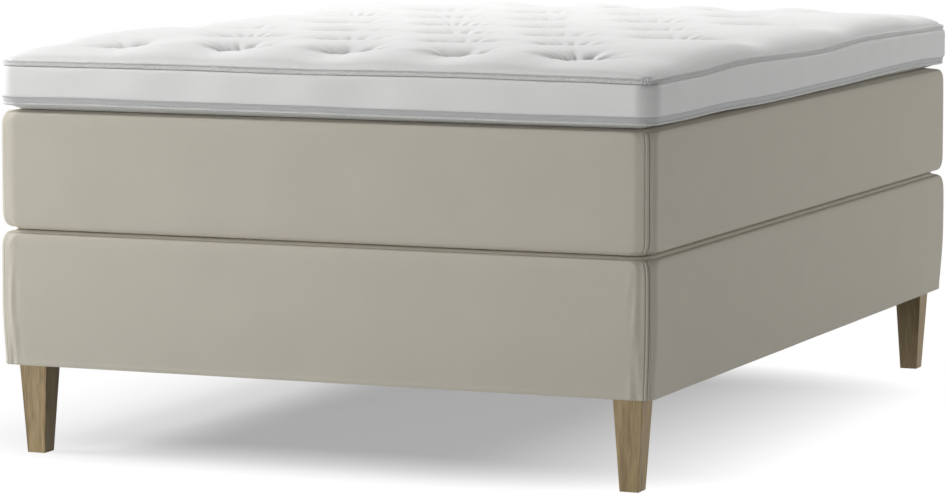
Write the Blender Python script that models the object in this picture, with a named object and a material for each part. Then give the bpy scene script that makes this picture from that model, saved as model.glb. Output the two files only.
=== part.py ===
"""Continental box spring bed: upholstered spring base on four oak legs, spring mattress, tufted topper.

Metres, +Z up. The origin is on the floor under the middle of the bed. The foot end faces -Y,
and +X is the side to the right of somebody who looks at the foot end.
"""

import math

import bmesh
import bpy
from mathutils import Matrix, Vector

# Driving dimensions
bed_width = 1.400
bed_length = 2.000
leg_height = 0.1845
base_height = 0.2756
mattress_height = 0.2426
topper_border_height = 0.0900
topper_crown_rise = 0.0470

# Running gap between pieces that touch
fit_gap = 0.0003

# Legs: square, tapered, screwed in by a hanger bolt
leg_foot_width = 0.0400
leg_top_width = 0.0615
leg_edge_radius = 0.0015
leg_axis_inset = 0.0550
bolt_radius = 0.0040
bolt_clearance = 0.0003
bolt_depth_in_leg = 0.0400
bolt_chamfer = 0.0008
bore_end_room = 0.0020

# Base frame
upholstery_depth = 0.0160
rail_thickness = 0.0220
rail_height = 0.1100
beam_width = 0.0450
block_width = 0.0850
block_height = 0.0450
nut_barrel_radius = 0.0052
nut_barrel_length = 0.0110
nut_flange_radius = 0.0110
nut_flange_thickness = 0.0015
wood_edge_radius = 0.0015
slat_width = 0.0700
slat_thickness = 0.0160
slat_count = 9
slat_end_inset = 0.0600
dust_cover_recess = 0.0005
dust_cover_thickness = 0.0012
dust_cover_inset = 0.0020

# Spring units: pocket springs side by side
pocket_diameter = 0.0700
pocket_notch = 0.0070
pocket_arc_steps = 3
felt_thickness = 0.0040
base_foam_thickness = 0.0250
mattress_edge_foam_width = 0.0600
comfort_foam_thickness = 0.0420
pad_edge = 0.0030

# Upholstery of base and mattress
corner_radius = 0.0220
seam_corner_radius = 0.0520
corner_roll = 0.0290
corner_wall = 0.0030
seam_recess = 0.0090
seam_height = 0.0055
seam_roll = 0.0070
cover_centre_thickness = 0.0040
base_bulge = 0.0090
base_corner_share = 0.75
mattress_bulge = 0.0070
mattress_corner_share = 0.45
seam_round_power = 4.0
hem_round_power = 1.6
roll_shares = (0.0, 0.04, 0.16, 0.4, 0.7, 1.0)
hem_shares = (0.0, 0.03, 0.1, 0.25)
seam_gap = 0.0003

# Topper
topper_corner_radius = 0.0320
topper_bottom_recess = 0.0100
topper_bottom_thickness = 0.0030
flange_reach = 0.0030
top_flange_reach = 0.0030
flange_thickness = 0.0050
flange_low = 0.0060
top_flange_thickness = 0.0030
top_flange_groove = 0.0040
zip_band_height = 0.0180
zip_band_low_offset = 0.0005
zip_band_high_offset = 0.0075
zip_tape_thickness = 0.0015
core_setback = 0.0015
chain_half_width = 0.0024
chain_rise = 0.0016
chain_flat_share = 0.8
border_low_offset = 0.0078
border_high_offset = 0.0020
border_bulge = 0.0105
border_wall_low = 0.0048
border_wall_high = 0.0048
crown_edge_width = 0.1350
crown_power = 2.2
crown_rim_shares = (0.42, 0.14, 0.02)
crown_grid_share = 0.65
tuft_end_margin = 0.1700
tuft_side_margin = 0.2150
tuft_columns = 5
tuft_rows = 7
tuft_depth = 0.0170
tuft_radius = 0.0330
hollow_depth = 0.0150
hollow_radius_across = 0.0620
hollow_radius_along = 0.0760
hollow_run_out_share = 0.25

# Zip slider and its pull
slider_length = 0.0120
slider_width = 0.0090
slider_plate = 0.0012
slider_clearance = 0.0004
slider_edge_radius = 0.0004
slider_end_margin = 0.1000
arch_length = 0.0080
arch_width = 0.0020
arch_opening = 0.0022
arch_bar = 0.0010
pull_pin = 0.0010
pull_pin_height = 0.0011
pull_thickness = 0.0010
pull_arm_room = 0.0007
pull_arm_width = 0.0014
pull_window_length = 0.0062
pull_arm_share = 0.9
pull_length = 0.0260

# Levels, from the floor up
base_top = leg_height + base_height
mattress_top = base_top + mattress_height
border_top = mattress_top + topper_border_height
half_width = bed_width / 2
half_length = bed_length / 2

# Corner radius behind the upholstery, which leaves a wall of corner_wall at the seams' corners
diagonal = math.sqrt(2)
back_inset = (seam_recess - upholstery_depth) * diagonal + corner_wall
back_radius = max(seam_corner_radius + back_inset / (diagonal - 1), wood_edge_radius)

DOWN, UP = -1, 1

# Facets: steps along each side and round each corner of the plan, and up a soft face
plan_side_steps = 6
hidden_side_steps = 2
cover_side_steps = 12
cover_arc_steps = 3
plan_arc_steps = 2 * cover_arc_steps
border_steps = 6
rod_segments = 16
bolt_segments = 12

# Faces that meet at less than these angles, in degrees, are shaded as one smooth surface
turned_smooth_angle = 40
cloth_smooth_angle = 50
tufted_smooth_angle = 60


def clear_scene():
    for old in list(bpy.data.objects):
        bpy.data.objects.remove(old, do_unlink=True)


def linear(channel):
    return channel / 12.92 if channel <= 0.04045 else ((channel + 0.055) / 1.055) ** 2.4


def material(name, red, green, blue, roughness, metallic=0.0):
    """A Principled material from an sRGB colour given as 0 to 255."""
    made = bpy.data.materials.new(name)
    made.use_nodes = True
    shader = made.node_tree.nodes["Principled BSDF"]
    colour = [linear(channel / 255) for channel in (red, green, blue)] + [1.0]
    shader.inputs["Base Color"].default_value = colour
    shader.inputs["Roughness"].default_value = roughness
    shader.inputs["Metallic"].default_value = metallic
    made.diffuse_color = colour
    return made


def new_object(name, mesh_data, finish, smooth_angle=None):
    """Makes an object of a bmesh, its faces turned outwards. The bmesh is freed."""
    bmesh.ops.recalc_face_normals(mesh_data, faces=mesh_data.faces)
    mesh = bpy.data.meshes.new(name)
    mesh_data.to_mesh(mesh)
    mesh_data.free()
    if finish:
        mesh.materials.append(finish)
    if smooth_angle:
        mesh.shade_smooth()
        mesh.set_sharp_from_angle(angle=math.radians(smooth_angle))
    made = bpy.data.objects.new(name, mesh)
    bpy.context.scene.collection.objects.link(made)
    return made


def hang_on(child, parent):
    """Parents an object and keeps it where it is."""
    bpy.context.view_layer.update()
    child.parent = parent
    child.matrix_parent_inverse = parent.matrix_world.inverted()


def body_empty(name, place=(0.0, 0.0, 0.0)):
    made = bpy.data.objects.new(name, None)
    made.empty_display_size = fit_gap
    made.location = place
    bpy.context.scene.collection.objects.link(made)
    return made


def block_between(name, low, high, finish, edge_radius=None):
    """A board between two corners, its origin at its middle, with its edges eased by a Bevel."""
    low, high = Vector(low), Vector(high)
    shape = bmesh.new()
    bmesh.ops.create_cube(shape, size=1.0)
    bmesh.ops.scale(shape, vec=high - low, verts=shape.verts)
    made = new_object(name, shape, finish)
    made.location = (low + high) / 2
    if edge_radius:
        ease = made.modifiers.new("eased edges", "BEVEL")
        ease.width = edge_radius
        ease.segments = 1
    return made


def cutting_rod(name, centre, radius, low, high):
    """A hidden round cutter along Z."""
    shape = bmesh.new()
    bmesh.ops.create_cone(
        shape, cap_ends=True, segments=rod_segments, radius1=radius, radius2=radius, depth=high - low
    )
    rod = new_object(name, shape, None)
    rod.location = (centre[0], centre[1], (low + high) / 2)
    rod.hide_render = True
    rod.display_type = "WIRE"
    return rod


def cut_with(target, rod):
    hole = target.modifiers.new("bore", "BOOLEAN")
    hole.operation = "DIFFERENCE"
    hole.object = rod


def rounded_outline(offset, radius, side_steps):
    """Points round the bed's plan, moved out by offset, from the middle of each side on, anticlockwise."""
    reach_x = half_width + offset
    reach_y = half_length + offset
    turn = max(radius + offset, radius / 4)
    points = []
    corners = ((1, -1, -90), (1, 1, 0), (-1, 1, 90), (-1, -1, 180))
    for side_x, side_y, start in corners:
        centre = Vector((side_x * (reach_x - turn), side_y * (reach_y - turn)))
        for step in range(plan_arc_steps + 1):
            angle = math.radians(start + 90 * step / plan_arc_steps)
            points.append(centre + turn * Vector((math.cos(angle), math.sin(angle))))
    closed = []
    for index, point in enumerate(points):
        after = points[(index + 1) % len(points)]
        closed.append(point)
        if index % (plan_arc_steps + 1) == plan_arc_steps:
            closed += [point.lerp(after, step / side_steps) for step in range(1, side_steps)]
    return closed


def stacked_loops(levels, radius, side_steps, ring=False):
    """A solid through loops of the plan, given as (offset, z). A ring joins its last loop to its first."""
    shape = bmesh.new()
    loops = []
    for offset, height in levels:
        outline = rounded_outline(offset, radius, side_steps)
        loops.append([shape.verts.new((point.x, point.y, height)) for point in outline])
    pairs = list(zip(loops, loops[1:]))
    if ring:
        pairs.append((loops[-1], loops[0]))
    for lower, upper in pairs:
        count = len(lower)
        for index in range(count):
            after = (index + 1) % count
            shape.faces.new((lower[index], lower[after], upper[after], upper[index]))
    if not ring:
        shape.faces.new(loops[0])
        shape.faces.new(loops[-1])
    return shape


def swell_share(height_share, hemmed):
    """How far a soft face stands out between its seams: 0 at them and 1 halfway. A hem eases in slowly."""
    from_middle = abs(2 * height_share - 1)
    if hemmed and height_share < 0.5:
        return 1 - from_middle**hem_round_power
    return max(0.0, 1 - from_middle**seam_round_power) ** (1 / seam_round_power)


def face_levels(bottom, top, low_offset, high_offset, bulge, steps):
    """(offset, z) up a soft face, closer together near its seams."""
    levels = []
    for step in range(steps + 1):
        share = (1 - math.cos(math.pi * step / steps)) / 2
        seam = low_offset + (high_offset - low_offset) * share
        swell = swell_share(share, False)
        levels.append((seam * (1 - swell) + bulge * swell, bottom + (top - bottom) * share))
    return levels


def side_levels(bottom, top, bulge, hemmed):
    """(seam offset, swell, corner radius, z) up an upholstered side, seamed at its top and seamed or hemmed below.

    Towards a seam its corners grow rounder in plan, along a quarter circle.
    """
    rise = top - bottom
    roll = min(corner_roll, rise / 3)
    heights = [bottom + share * roll for share in roll_shares]
    if hemmed:
        heights = [bottom + share * rise for share in hem_shares]
    heights.append((bottom + top) / 2)
    heights += [top - share * roll for share in reversed(roll_shares)]
    levels = []
    for height in heights:
        to_seam = top - height if hemmed else min(top - height, height - bottom)
        rolled = 1 - math.sqrt(1 - max(0.0, 1 - to_seam / roll) ** 2)
        radius = corner_radius + (seam_corner_radius - corner_radius) * rolled
        share = (height - bottom) / rise
        swell = swell_share(share, hemmed)
        seam = 0.0 if hemmed and share < 0.5 else -seam_recess
        levels.append((seam * (1 - swell), bulge * swell, radius, height))
    return levels


def upholstered_side(name, turn, levels, backs, corner_share, finish):
    """One upholstered side, mitred at its two corner seams, with a flat back against what it covers.

    turn counts quarter turns from the foot end: 0 foot, 1 right, 2 head, 3 left. At its corners it
    swells only by corner_share. backs holds (corner radius, z) up its back.
    """
    side_half, depth = (half_width, half_length) if turn % 2 == 0 else (half_length, half_width)
    trim = seam_gap / math.sqrt(2)
    half_steps = cover_side_steps // 2
    last = half_steps + cover_arc_steps

    def plan_point(column, inset, reach, out):
        """(along, out) of a column whose corner arc is centred inset in from both faces."""
        past = abs(column) - half_steps
        if past < 0:
            return (side_half - inset) * column / half_steps, out
        angle = math.radians(45 * past / cover_arc_steps)
        along = side_half - inset + reach * math.sin(angle)
        if past == cover_arc_steps:
            along -= trim
        return math.copysign(along, column), depth - inset + reach * math.cos(angle)

    columns = range(-last, last + 1)
    rotate = Matrix.Rotation(math.radians(90 * turn), 4, "Z")
    shape = bmesh.new()

    def row_of(points, height):
        return [shape.verts.new(rotate @ Vector((along, -out, height))) for along, out in points]

    rows = []
    for seam, swell, radius, height in levels:
        reach = radius + seam + swell * corner_share
        out = depth + seam + swell
        rows.append(row_of([plan_point(column, radius, reach, out) for column in columns], height))
    for radius, height in reversed(backs):
        inset = upholstery_depth + radius
        out = depth - upholstery_depth
        rows.append(row_of([plan_point(column, inset, radius, out) for column in columns], height))
    for lower, upper in zip(rows, rows[1:] + rows[:1]):
        for index in range(len(lower) - 1):
            shape.faces.new((lower[index], lower[index + 1], upper[index + 1], upper[index]))
    for end in (0, -1):
        shape.faces.new([row[end] for row in rows])
    return new_object(name, shape, finish, smooth_angle=cloth_smooth_angle)


def rounded_pad(name, low, high, finish, edge):
    """A pad that fills the plan inside the upholstery, with its edges eased by edge."""
    inside = -upholstery_depth - fit_gap
    levels = ((inside - edge, low), (inside, low + edge), (inside, high - edge), (inside - edge, high))
    shape = stacked_loops(levels, upholstery_depth + back_radius, plan_side_steps)
    return new_object(name, shape, finish, smooth_angle=turned_smooth_angle)


def edge_foam(name, sign, inner, low, high, finish):
    """A foam strip along one long side, its two outer corners rounded to the upholstery's back."""
    outer_x = half_width - upholstery_depth - fit_gap
    outer_y = half_length - upholstery_depth - fit_gap
    radius = back_radius - fit_gap
    points = [Vector((inner, outer_y)), Vector((inner, -outer_y))]
    for start, side_y in ((-90, -1), (0, 1)):
        centre = Vector((outer_x - radius, side_y * (outer_y - radius)))
        for step in range(plan_arc_steps + 1):
            angle = math.radians(start + 90 * step / plan_arc_steps)
            points.append(centre + radius * Vector((math.cos(angle), math.sin(angle))))
    shape = bmesh.new()
    foot = [shape.verts.new((sign * point.x, point.y, low)) for point in points]
    head = [shape.verts.new((sign * point.x, point.y, high)) for point in points]
    for index in range(len(points)):
        after = (index + 1) % len(points)
        shape.faces.new((foot[index], foot[after], head[after], head[index]))
    shape.faces.new(foot)
    shape.faces.new(head)
    return new_object(name, shape, finish, smooth_angle=turned_smooth_angle)


def pocket_spring_unit(name, half_x, half_y, low, high, finish):
    """A block of pocket springs: round pockets show as scallops all round it."""
    shape = bmesh.new()
    across = max(2, round(2 * half_x / pocket_diameter))
    along = max(2, round(2 * half_y / pocket_diameter))
    points = []
    corners = ((-half_x, -half_y), (half_x, -half_y), (half_x, half_y), (-half_x, half_y))
    for corner, count in enumerate((across, along, across, along)):
        start = Vector(corners[corner])
        end = Vector(corners[(corner + 1) % 4])
        direction = (end - start).normalized()
        inward = Vector((-direction.y, direction.x))
        for step in range(count * pocket_arc_steps):
            swing = math.pi * (step % pocket_arc_steps) / pocket_arc_steps
            depth = pocket_notch * (1 - math.sin(swing))
            place = start.lerp(end, step / (count * pocket_arc_steps)) + inward * depth
            if step == 0:
                place += direction * pocket_notch
            points.append(place)
    lower = [shape.verts.new((point.x, point.y, low)) for point in points]
    upper = [shape.verts.new((point.x, point.y, high)) for point in points]
    for index in range(len(points)):
        after = (index + 1) % len(points)
        shape.faces.new((lower[index], lower[after], upper[after], upper[index]))
    shape.faces.new(lower)
    shape.faces.new(upper)
    return new_object(name, shape, finish, smooth_angle=turned_smooth_angle)


def make_materials():
    return {
        "greige_fabric": material("greige_fabric", 190, 184, 167, 0.85),
        "white_knit": material("white_knit", 232, 232, 230, 0.9),
        "zip_tape": material("zip_tape", 176, 178, 176, 0.8),
        "oiled_oak": material("oiled_oak", 158, 137, 98, 0.5),
        "pine": material("pine", 214, 184, 138, 0.7),
        "steel": material("steel", 170, 172, 175, 0.35, 1.0),
        "pocket_cloth": material("pocket_cloth", 222, 222, 216, 0.9),
        "felt": material("felt", 120, 120, 118, 0.95),
        "foam": material("foam", 232, 226, 200, 0.9),
        "dust_cloth": material("dust_cloth", 60, 60, 62, 0.9),
    }


def corner_places():
    """(name, x sign, y sign) of the four corners."""
    return (
        ("foot_left", -1, -1),
        ("foot_right", 1, -1),
        ("head_left", -1, 1),
        ("head_right", 1, 1),
    )


def make_leg(name, centre, top, finish):
    """A leg about its own axis, standing on the floor, wider at its top."""
    shape = bmesh.new()
    bmesh.ops.create_cube(shape, size=1.0)
    for vert in shape.verts:
        width = leg_top_width if vert.co.z > 0 else leg_foot_width
        vert.co = Vector((vert.co.x * width, vert.co.y * width, top if vert.co.z > 0 else 0.0))
    leg = new_object(name, shape, finish)
    leg.location = (centre[0], centre[1], 0.0)
    ease = leg.modifiers.new("eased edges", "BEVEL")
    ease.width = leg_edge_radius
    ease.segments = 2
    return leg


def turned_piece(name, profile, centre, finish, segments):
    """A piece turned about Z, from (radius, z) points along its section, which returns to where it starts."""
    shape = bmesh.new()
    rings = []
    for radius, height in profile:
        ring = []
        for step in range(segments):
            angle = 2 * math.pi * step / segments
            ring.append(shape.verts.new((radius * math.cos(angle), radius * math.sin(angle), height)))
        rings.append(ring)
    for lower, upper in zip(rings, rings[1:] + rings[:1]):
        for index in range(segments):
            after = (index + 1) % segments
            shape.faces.new((lower[index], lower[after], upper[after], upper[index]))
    made = new_object(name, shape, finish, smooth_angle=turned_smooth_angle)
    made.location = (centre[0], centre[1], 0.0)
    return made


def make_bolt(name, centre, low, high, finish):
    """A hanger bolt: a rod with chamfered ends, half in the leg and half in the frame."""
    shape = bmesh.new()
    bmesh.ops.create_cone(
        shape,
        cap_ends=True,
        segments=bolt_segments,
        radius1=bolt_radius,
        radius2=bolt_radius,
        depth=high - low,
    )
    bolt = new_object(name, shape, finish, smooth_angle=turned_smooth_angle)
    bolt.location = (centre[0], centre[1], (low + high) / 2)
    chamfer = bolt.modifiers.new("chamfer", "BEVEL")
    chamfer.width = bolt_chamfer
    chamfer.segments = 1
    return bolt


def make_base(finishes, body):
    pieces = []
    dust_low = leg_height + dust_cover_recess
    dust_high = dust_low + dust_cover_thickness
    frame_low = dust_high + fit_gap
    frame_high = frame_low + rail_height
    rail_out_x = half_width - upholstery_depth - fit_gap
    rail_out_y = half_length - upholstery_depth - fit_gap
    rail_in_x = rail_out_x - rail_thickness
    rail_in_y = rail_out_y - rail_thickness
    leg_top = dust_low - fit_gap
    cover_low = base_top - fit_gap / 2 - seam_height

    dust = block_between(
        "base_dust_cover",
        (-rail_out_x + dust_cover_inset, -rail_out_y + dust_cover_inset, dust_low),
        (rail_out_x - dust_cover_inset, rail_out_y - dust_cover_inset, dust_high),
        finishes["dust_cloth"],
    )
    pieces.append(dust)

    for side, sign in (("left", -1), ("right", 1)):
        inner, outer = sorted((sign * rail_in_x, sign * rail_out_x))
        low = (inner, -rail_out_y, frame_low)
        high = (outer, rail_out_y, frame_high)
        pieces.append(block_between("base_rail_" + side, low, high, finishes["pine"], wood_edge_radius))
    for end, sign in (("foot", -1), ("head", 1)):
        inner, outer = sorted((sign * rail_in_y, sign * rail_out_y))
        low = (-rail_in_x + fit_gap, inner, frame_low)
        high = (rail_in_x - fit_gap, outer, frame_high)
        pieces.append(block_between("base_rail_" + end, low, high, finishes["pine"], wood_edge_radius))
    low = (-beam_width / 2, -rail_in_y + fit_gap, frame_low)
    high = (beam_width / 2, rail_in_y - fit_gap, frame_high)
    pieces.append(block_between("base_centre_beam", low, high, finishes["pine"], wood_edge_radius))

    slat_low = frame_high + fit_gap
    slat_high = slat_low + slat_thickness
    first_slat = -rail_out_y + slat_end_inset + slat_width / 2
    slat_pitch = -2 * first_slat / (slat_count - 1)
    for number in range(slat_count):
        middle = first_slat + number * slat_pitch
        low = (-rail_out_x, middle - slat_width / 2, slat_low)
        high = (rail_out_x, middle + slat_width / 2, slat_high)
        name = "base_slat_%d" % (number + 1)
        pieces.append(block_between(name, low, high, finishes["pine"], wood_edge_radius))

    for corner, side_x, side_y in corner_places():
        centre = (side_x * (half_width - leg_axis_inset), side_y * (half_length - leg_axis_inset))
        block_x = sorted((side_x * (rail_in_x - fit_gap), side_x * (rail_in_x - fit_gap - block_width)))
        block_y = sorted((side_y * (rail_in_y - fit_gap), side_y * (rail_in_y - fit_gap - block_width)))
        block_high = frame_low + block_height
        low = (block_x[0], block_y[0], frame_low)
        high = (block_x[1], block_y[1], block_high)
        name = "base_corner_block_" + corner
        block = block_between(name, low, high, finishes["pine"], wood_edge_radius)
        nut_low = block_high - nut_barrel_length
        nut_high = block_high + fit_gap + nut_flange_thickness
        nut_bore = bolt_radius + bolt_clearance
        bolt_low = leg_top - bolt_depth_in_leg
        leg_bore = cutting_rod(
            "leg_bore_" + corner, centre, nut_bore, bolt_low - bore_end_room, frame_low + fit_gap
        )
        block_bore_radius = nut_barrel_radius + bolt_clearance
        block_bore = cutting_rod(
            "block_bore_" + corner, centre, block_bore_radius, dust_high, nut_high + nut_flange_thickness
        )
        cut_with(block, block_bore)
        cut_with(dust, leg_bore)
        leg = make_leg("leg_" + corner, centre, leg_top, finishes["oiled_oak"])
        cut_with(leg, leg_bore)
        bolt = make_bolt("leg_bolt_" + corner, centre, bolt_low, nut_high, finishes["steel"])
        profile = (
            (nut_bore, nut_low),
            (nut_barrel_radius, nut_low),
            (nut_barrel_radius, block_high + fit_gap),
            (nut_flange_radius, block_high + fit_gap),
            (nut_flange_radius, nut_high),
            (nut_bore, nut_high),
        )
        nut = turned_piece("leg_nut_" + corner, profile, centre, finishes["steel"], rod_segments)
        for helper in (leg_bore, block_bore):
            hang_on(helper, body)
        pieces += [block, leg, bolt, nut]

    foam_high = cover_low - fit_gap
    foam_low = foam_high - base_foam_thickness
    felt_high = foam_low - fit_gap
    felt_low = felt_high - felt_thickness
    unit_low = slat_high + fit_gap
    unit_high = felt_low - fit_gap
    pieces.append(
        pocket_spring_unit(
            "base_spring_unit", rail_out_x, rail_out_y, unit_low, unit_high, finishes["pocket_cloth"]
        )
    )
    pieces.append(rounded_pad("base_felt_pad", felt_low, felt_high, finishes["felt"], felt_thickness / 4))
    pieces.append(rounded_pad("base_foam_pad", foam_low, foam_high, finishes["foam"], pad_edge))

    lid = cover_lid("base_top_cover", cover_low, UP, finishes["greige_fabric"])
    pieces.append(lid)
    cloth = finishes["greige_fabric"]
    levels = side_levels(leg_height, cover_low - fit_gap, base_bulge, hemmed=True)
    backs = (
        (wood_edge_radius, leg_height),
        (wood_edge_radius, felt_low),
        (back_radius, cover_low - fit_gap),
    )
    for turn, end in enumerate(("foot", "right", "head", "left")):
        name = "base_side_cover_" + end
        pieces.append(upholstered_side(name, turn, levels, backs, base_corner_share, cloth))
    for piece in pieces:
        hang_on(piece, body)


def cover_lid(name, seam, direction, finish):
    """The flat cover over (or, with direction DOWN, under) a box, rolled down to the seam round its edge."""
    rolled = seam + direction * seam_height / 2
    outer = seam + direction * seam_height
    levels = (
        (-seam_recess, seam),
        (-seam_recess - seam_roll / 4, rolled),
        (-seam_recess - seam_roll, outer),
    )
    shape = stacked_loops(levels, seam_corner_radius, plan_side_steps)
    return new_object(name, shape, finish, smooth_angle=cloth_smooth_angle)


def make_mattress(finishes, body):
    pieces = []
    low_seam = base_top + fit_gap / 2 + seam_height
    high_seam = mattress_top - fit_gap / 2 - seam_height
    pieces.append(cover_lid("mattress_bottom_cover", low_seam, DOWN, finishes["greige_fabric"]))
    pieces.append(cover_lid("mattress_top_cover", high_seam, UP, finishes["greige_fabric"]))
    cloth = finishes["greige_fabric"]
    levels = side_levels(low_seam + fit_gap, high_seam - fit_gap, mattress_bulge, hemmed=False)
    backs = ((back_radius, low_seam + fit_gap), (back_radius, high_seam - fit_gap))
    for turn, end in enumerate(("foot", "right", "head", "left")):
        name = "mattress_side_cover_" + end
        pieces.append(upholstered_side(name, turn, levels, backs, mattress_corner_share, cloth))
    out_x = half_width - upholstery_depth - fit_gap
    out_y = half_length - upholstery_depth - fit_gap
    in_x = out_x - mattress_edge_foam_width
    in_y = out_y - mattress_edge_foam_width
    comfort_high = high_seam - fit_gap
    comfort_low = comfort_high - comfort_foam_thickness
    unit_low = low_seam + fit_gap
    unit_high = comfort_low - fit_gap
    for side, sign in (("left", -1), ("right", 1)):
        name = "mattress_edge_foam_" + side
        pieces.append(edge_foam(name, sign, in_x, unit_low, unit_high, finishes["foam"]))
    for end, sign in (("foot", -1), ("head", 1)):
        inner, outer = sorted((sign * in_y, sign * out_y))
        name = "mattress_edge_foam_" + end
        low = (-in_x + fit_gap, inner, unit_low)
        high = (in_x - fit_gap, outer, unit_high)
        pieces.append(block_between(name, low, high, finishes["foam"]))
    pieces.append(
        pocket_spring_unit(
            "mattress_spring_unit",
            in_x - fit_gap,
            in_y - fit_gap,
            unit_low,
            unit_high,
            finishes["pocket_cloth"],
        )
    )
    foam = finishes["foam"]
    pieces.append(rounded_pad("mattress_comfort_foam", comfort_low, comfort_high, foam, pad_edge))
    for piece in pieces:
        hang_on(piece, body)


def tuft_places():
    """Centres of the tufts: full rows, and between them rows with one less, half a step across."""
    column_pitch = (bed_width - 2 * tuft_side_margin) / (tuft_columns - 1)
    row_pitch = (bed_length - 2 * tuft_end_margin) / (tuft_rows - 1)
    places = []
    for row in range(tuft_rows):
        count = tuft_columns - row % 2
        for column in range(count):
            across = (column - (count - 1) / 2) * column_pitch
            places.append((across, row * row_pitch - half_length + tuft_end_margin))
    return places


def edge_round(inside):
    """Share of the crown reached at a distance inside an edge."""
    share = min(1.0, max(0.0, inside / crown_edge_width))
    return (1 - (1 - share) ** crown_power) ** (1 / crown_power)


def run_out(off, place, last):
    """Beyond the outermost tufts a hollow runs on towards the edge."""
    outermost = abs(place) > last - fit_gap
    return off * hollow_run_out_share if outermost and off * place > 0 else off


def crown_height(across, along, tufts):
    """Height of the topper's face over its top seam."""
    rise = edge_round(half_width - abs(across)) * edge_round(half_length - abs(along))
    last_x = max(place[0] for place in tufts)
    last_y = max(place[1] for place in tufts)
    sunk = 0.0
    for tuft_x, tuft_y in tufts:
        off_x, off_y = across - tuft_x, along - tuft_y
        sunk += tuft_depth * math.exp(-(off_x**2 + off_y**2) / tuft_radius**2)
        run_x = run_out(off_x, tuft_x, last_x) / hollow_radius_across
        run_y = run_out(off_y, tuft_y, last_y) / hollow_radius_along
        sunk += hollow_depth * math.exp(-(run_x**2) - run_y**2)
    return rise * (topper_crown_rise - sunk)


def grid_lines():
    """Lines of the topper's face across and along: through every tuft and between them."""
    column_pitch = (bed_width - 2 * tuft_side_margin) / (tuft_columns - 1)
    row_pitch = (bed_length - 2 * tuft_end_margin) / (tuft_rows - 1)
    edge_x = half_width - crown_edge_width * crown_grid_share
    edge_y = half_length - crown_edge_width * crown_grid_share
    quarter = column_pitch / 4
    reach = math.floor((edge_x - quarter / 2) / quarter)
    lines_x = [-edge_x] + [step * quarter for step in range(-reach, reach + 1)] + [edge_x]
    lines_y = [-edge_y]
    for row in range(tuft_rows):
        middle = row * row_pitch - half_length + tuft_end_margin
        lines_y += [middle - tuft_radius, middle, middle + tuft_radius]
        if row < tuft_rows - 1:
            lines_y.append(middle + row_pitch / 2)
    lines_y.append(edge_y)
    return lines_x, lines_y


def make_tufted_top(finish):
    """The topper's crowned face, drawn in at its tufts, with the seam's flange round its foot."""
    tufts = tuft_places()
    lines_x, lines_y = grid_lines()
    shape = bmesh.new()
    seam = border_top + fit_gap / 2

    def face_vert(across, along):
        height = seam + top_flange_thickness + crown_height(across, along, tufts)
        return shape.verts.new((across, along, height))

    grid = [[face_vert(across, along) for across in lines_x] for along in lines_y]
    for lower, upper in zip(grid, grid[1:]):
        for index in range(len(lower) - 1):
            shape.faces.new((lower[index], lower[index + 1], upper[index + 1], upper[index]))
    right_side = [row[-1] for row in grid[:-1]]
    left_side = [row[0] for row in grid[:0:-1]]
    rim = grid[0][:-1] + right_side + grid[-1][:0:-1] + left_side

    def outline_point(vert, offset):
        """The rounded outline's point beside a rim point; near a corner it goes round the arc."""
        turn = topper_corner_radius + offset
        straight_x = half_width - topper_corner_radius
        straight_y = half_length - topper_corner_radius
        steps_x = steps_from_corner(lines_x, vert.co.x)
        steps_y = steps_from_corner(lines_y, vert.co.y)
        sign_x, sign_y = math.copysign(1, vert.co.x), math.copysign(1, vert.co.y)
        if steps_x + steps_y <= 2:
            angle = math.radians(45 + 45 * (steps_x - steps_y) / 2)
            across = sign_x * (straight_x + turn * math.cos(angle))
            return Vector((across, sign_y * (straight_y + turn * math.sin(angle))))
        if steps_y == 0:
            across = vert.co.x * straight_x / abs(lines_x[2])
            return Vector((across, sign_y * (half_length + offset)))
        along = vert.co.y * straight_y / abs(lines_y[2])
        return Vector((sign_x * (half_width + offset), along))

    inner = rim
    for share in crown_rim_shares:
        ring = []
        for vert in rim:
            edge = outline_point(vert, -top_flange_groove)
            place = edge.lerp(vert.co.xy, share)
            ring.append(face_vert(place.x, place.y))
        join_rings(shape, ring, inner)
        inner = ring
    for offset, height in (
        (-top_flange_groove / 2, seam + top_flange_thickness),
        (top_flange_reach, seam + top_flange_thickness),
        (top_flange_reach, seam),
    ):
        ring = [shape.verts.new((*outline_point(vert, offset), height)) for vert in rim]
        join_rings(shape, ring, inner)
        inner = ring
    shape.faces.new(inner)
    return new_object("topper_tufted_top", shape, finish, smooth_angle=tufted_smooth_angle)


def steps_from_corner(lines, value):
    """How many grid lines a value lies from the nearer end of the lines."""
    index = min(range(len(lines)), key=lambda number: abs(lines[number] - value))
    return min(index, len(lines) - 1 - index)


def join_rings(shape, outer, inner):
    count = len(outer)
    for index in range(count):
        after = (index + 1) % count
        shape.faces.new((outer[index], outer[after], inner[after], inner[index]))


def zip_levels():
    """Heights of the zip band: its foot, the line where its tapes meet, and its head."""
    low = mattress_top + flange_low + flange_thickness + fit_gap
    return low, low + zip_band_height / 2, low + zip_band_height


def zip_offset(height):
    low, _, high = zip_levels()
    share = (height - low) / (high - low)
    return zip_band_low_offset + (zip_band_high_offset - zip_band_low_offset) * share


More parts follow.
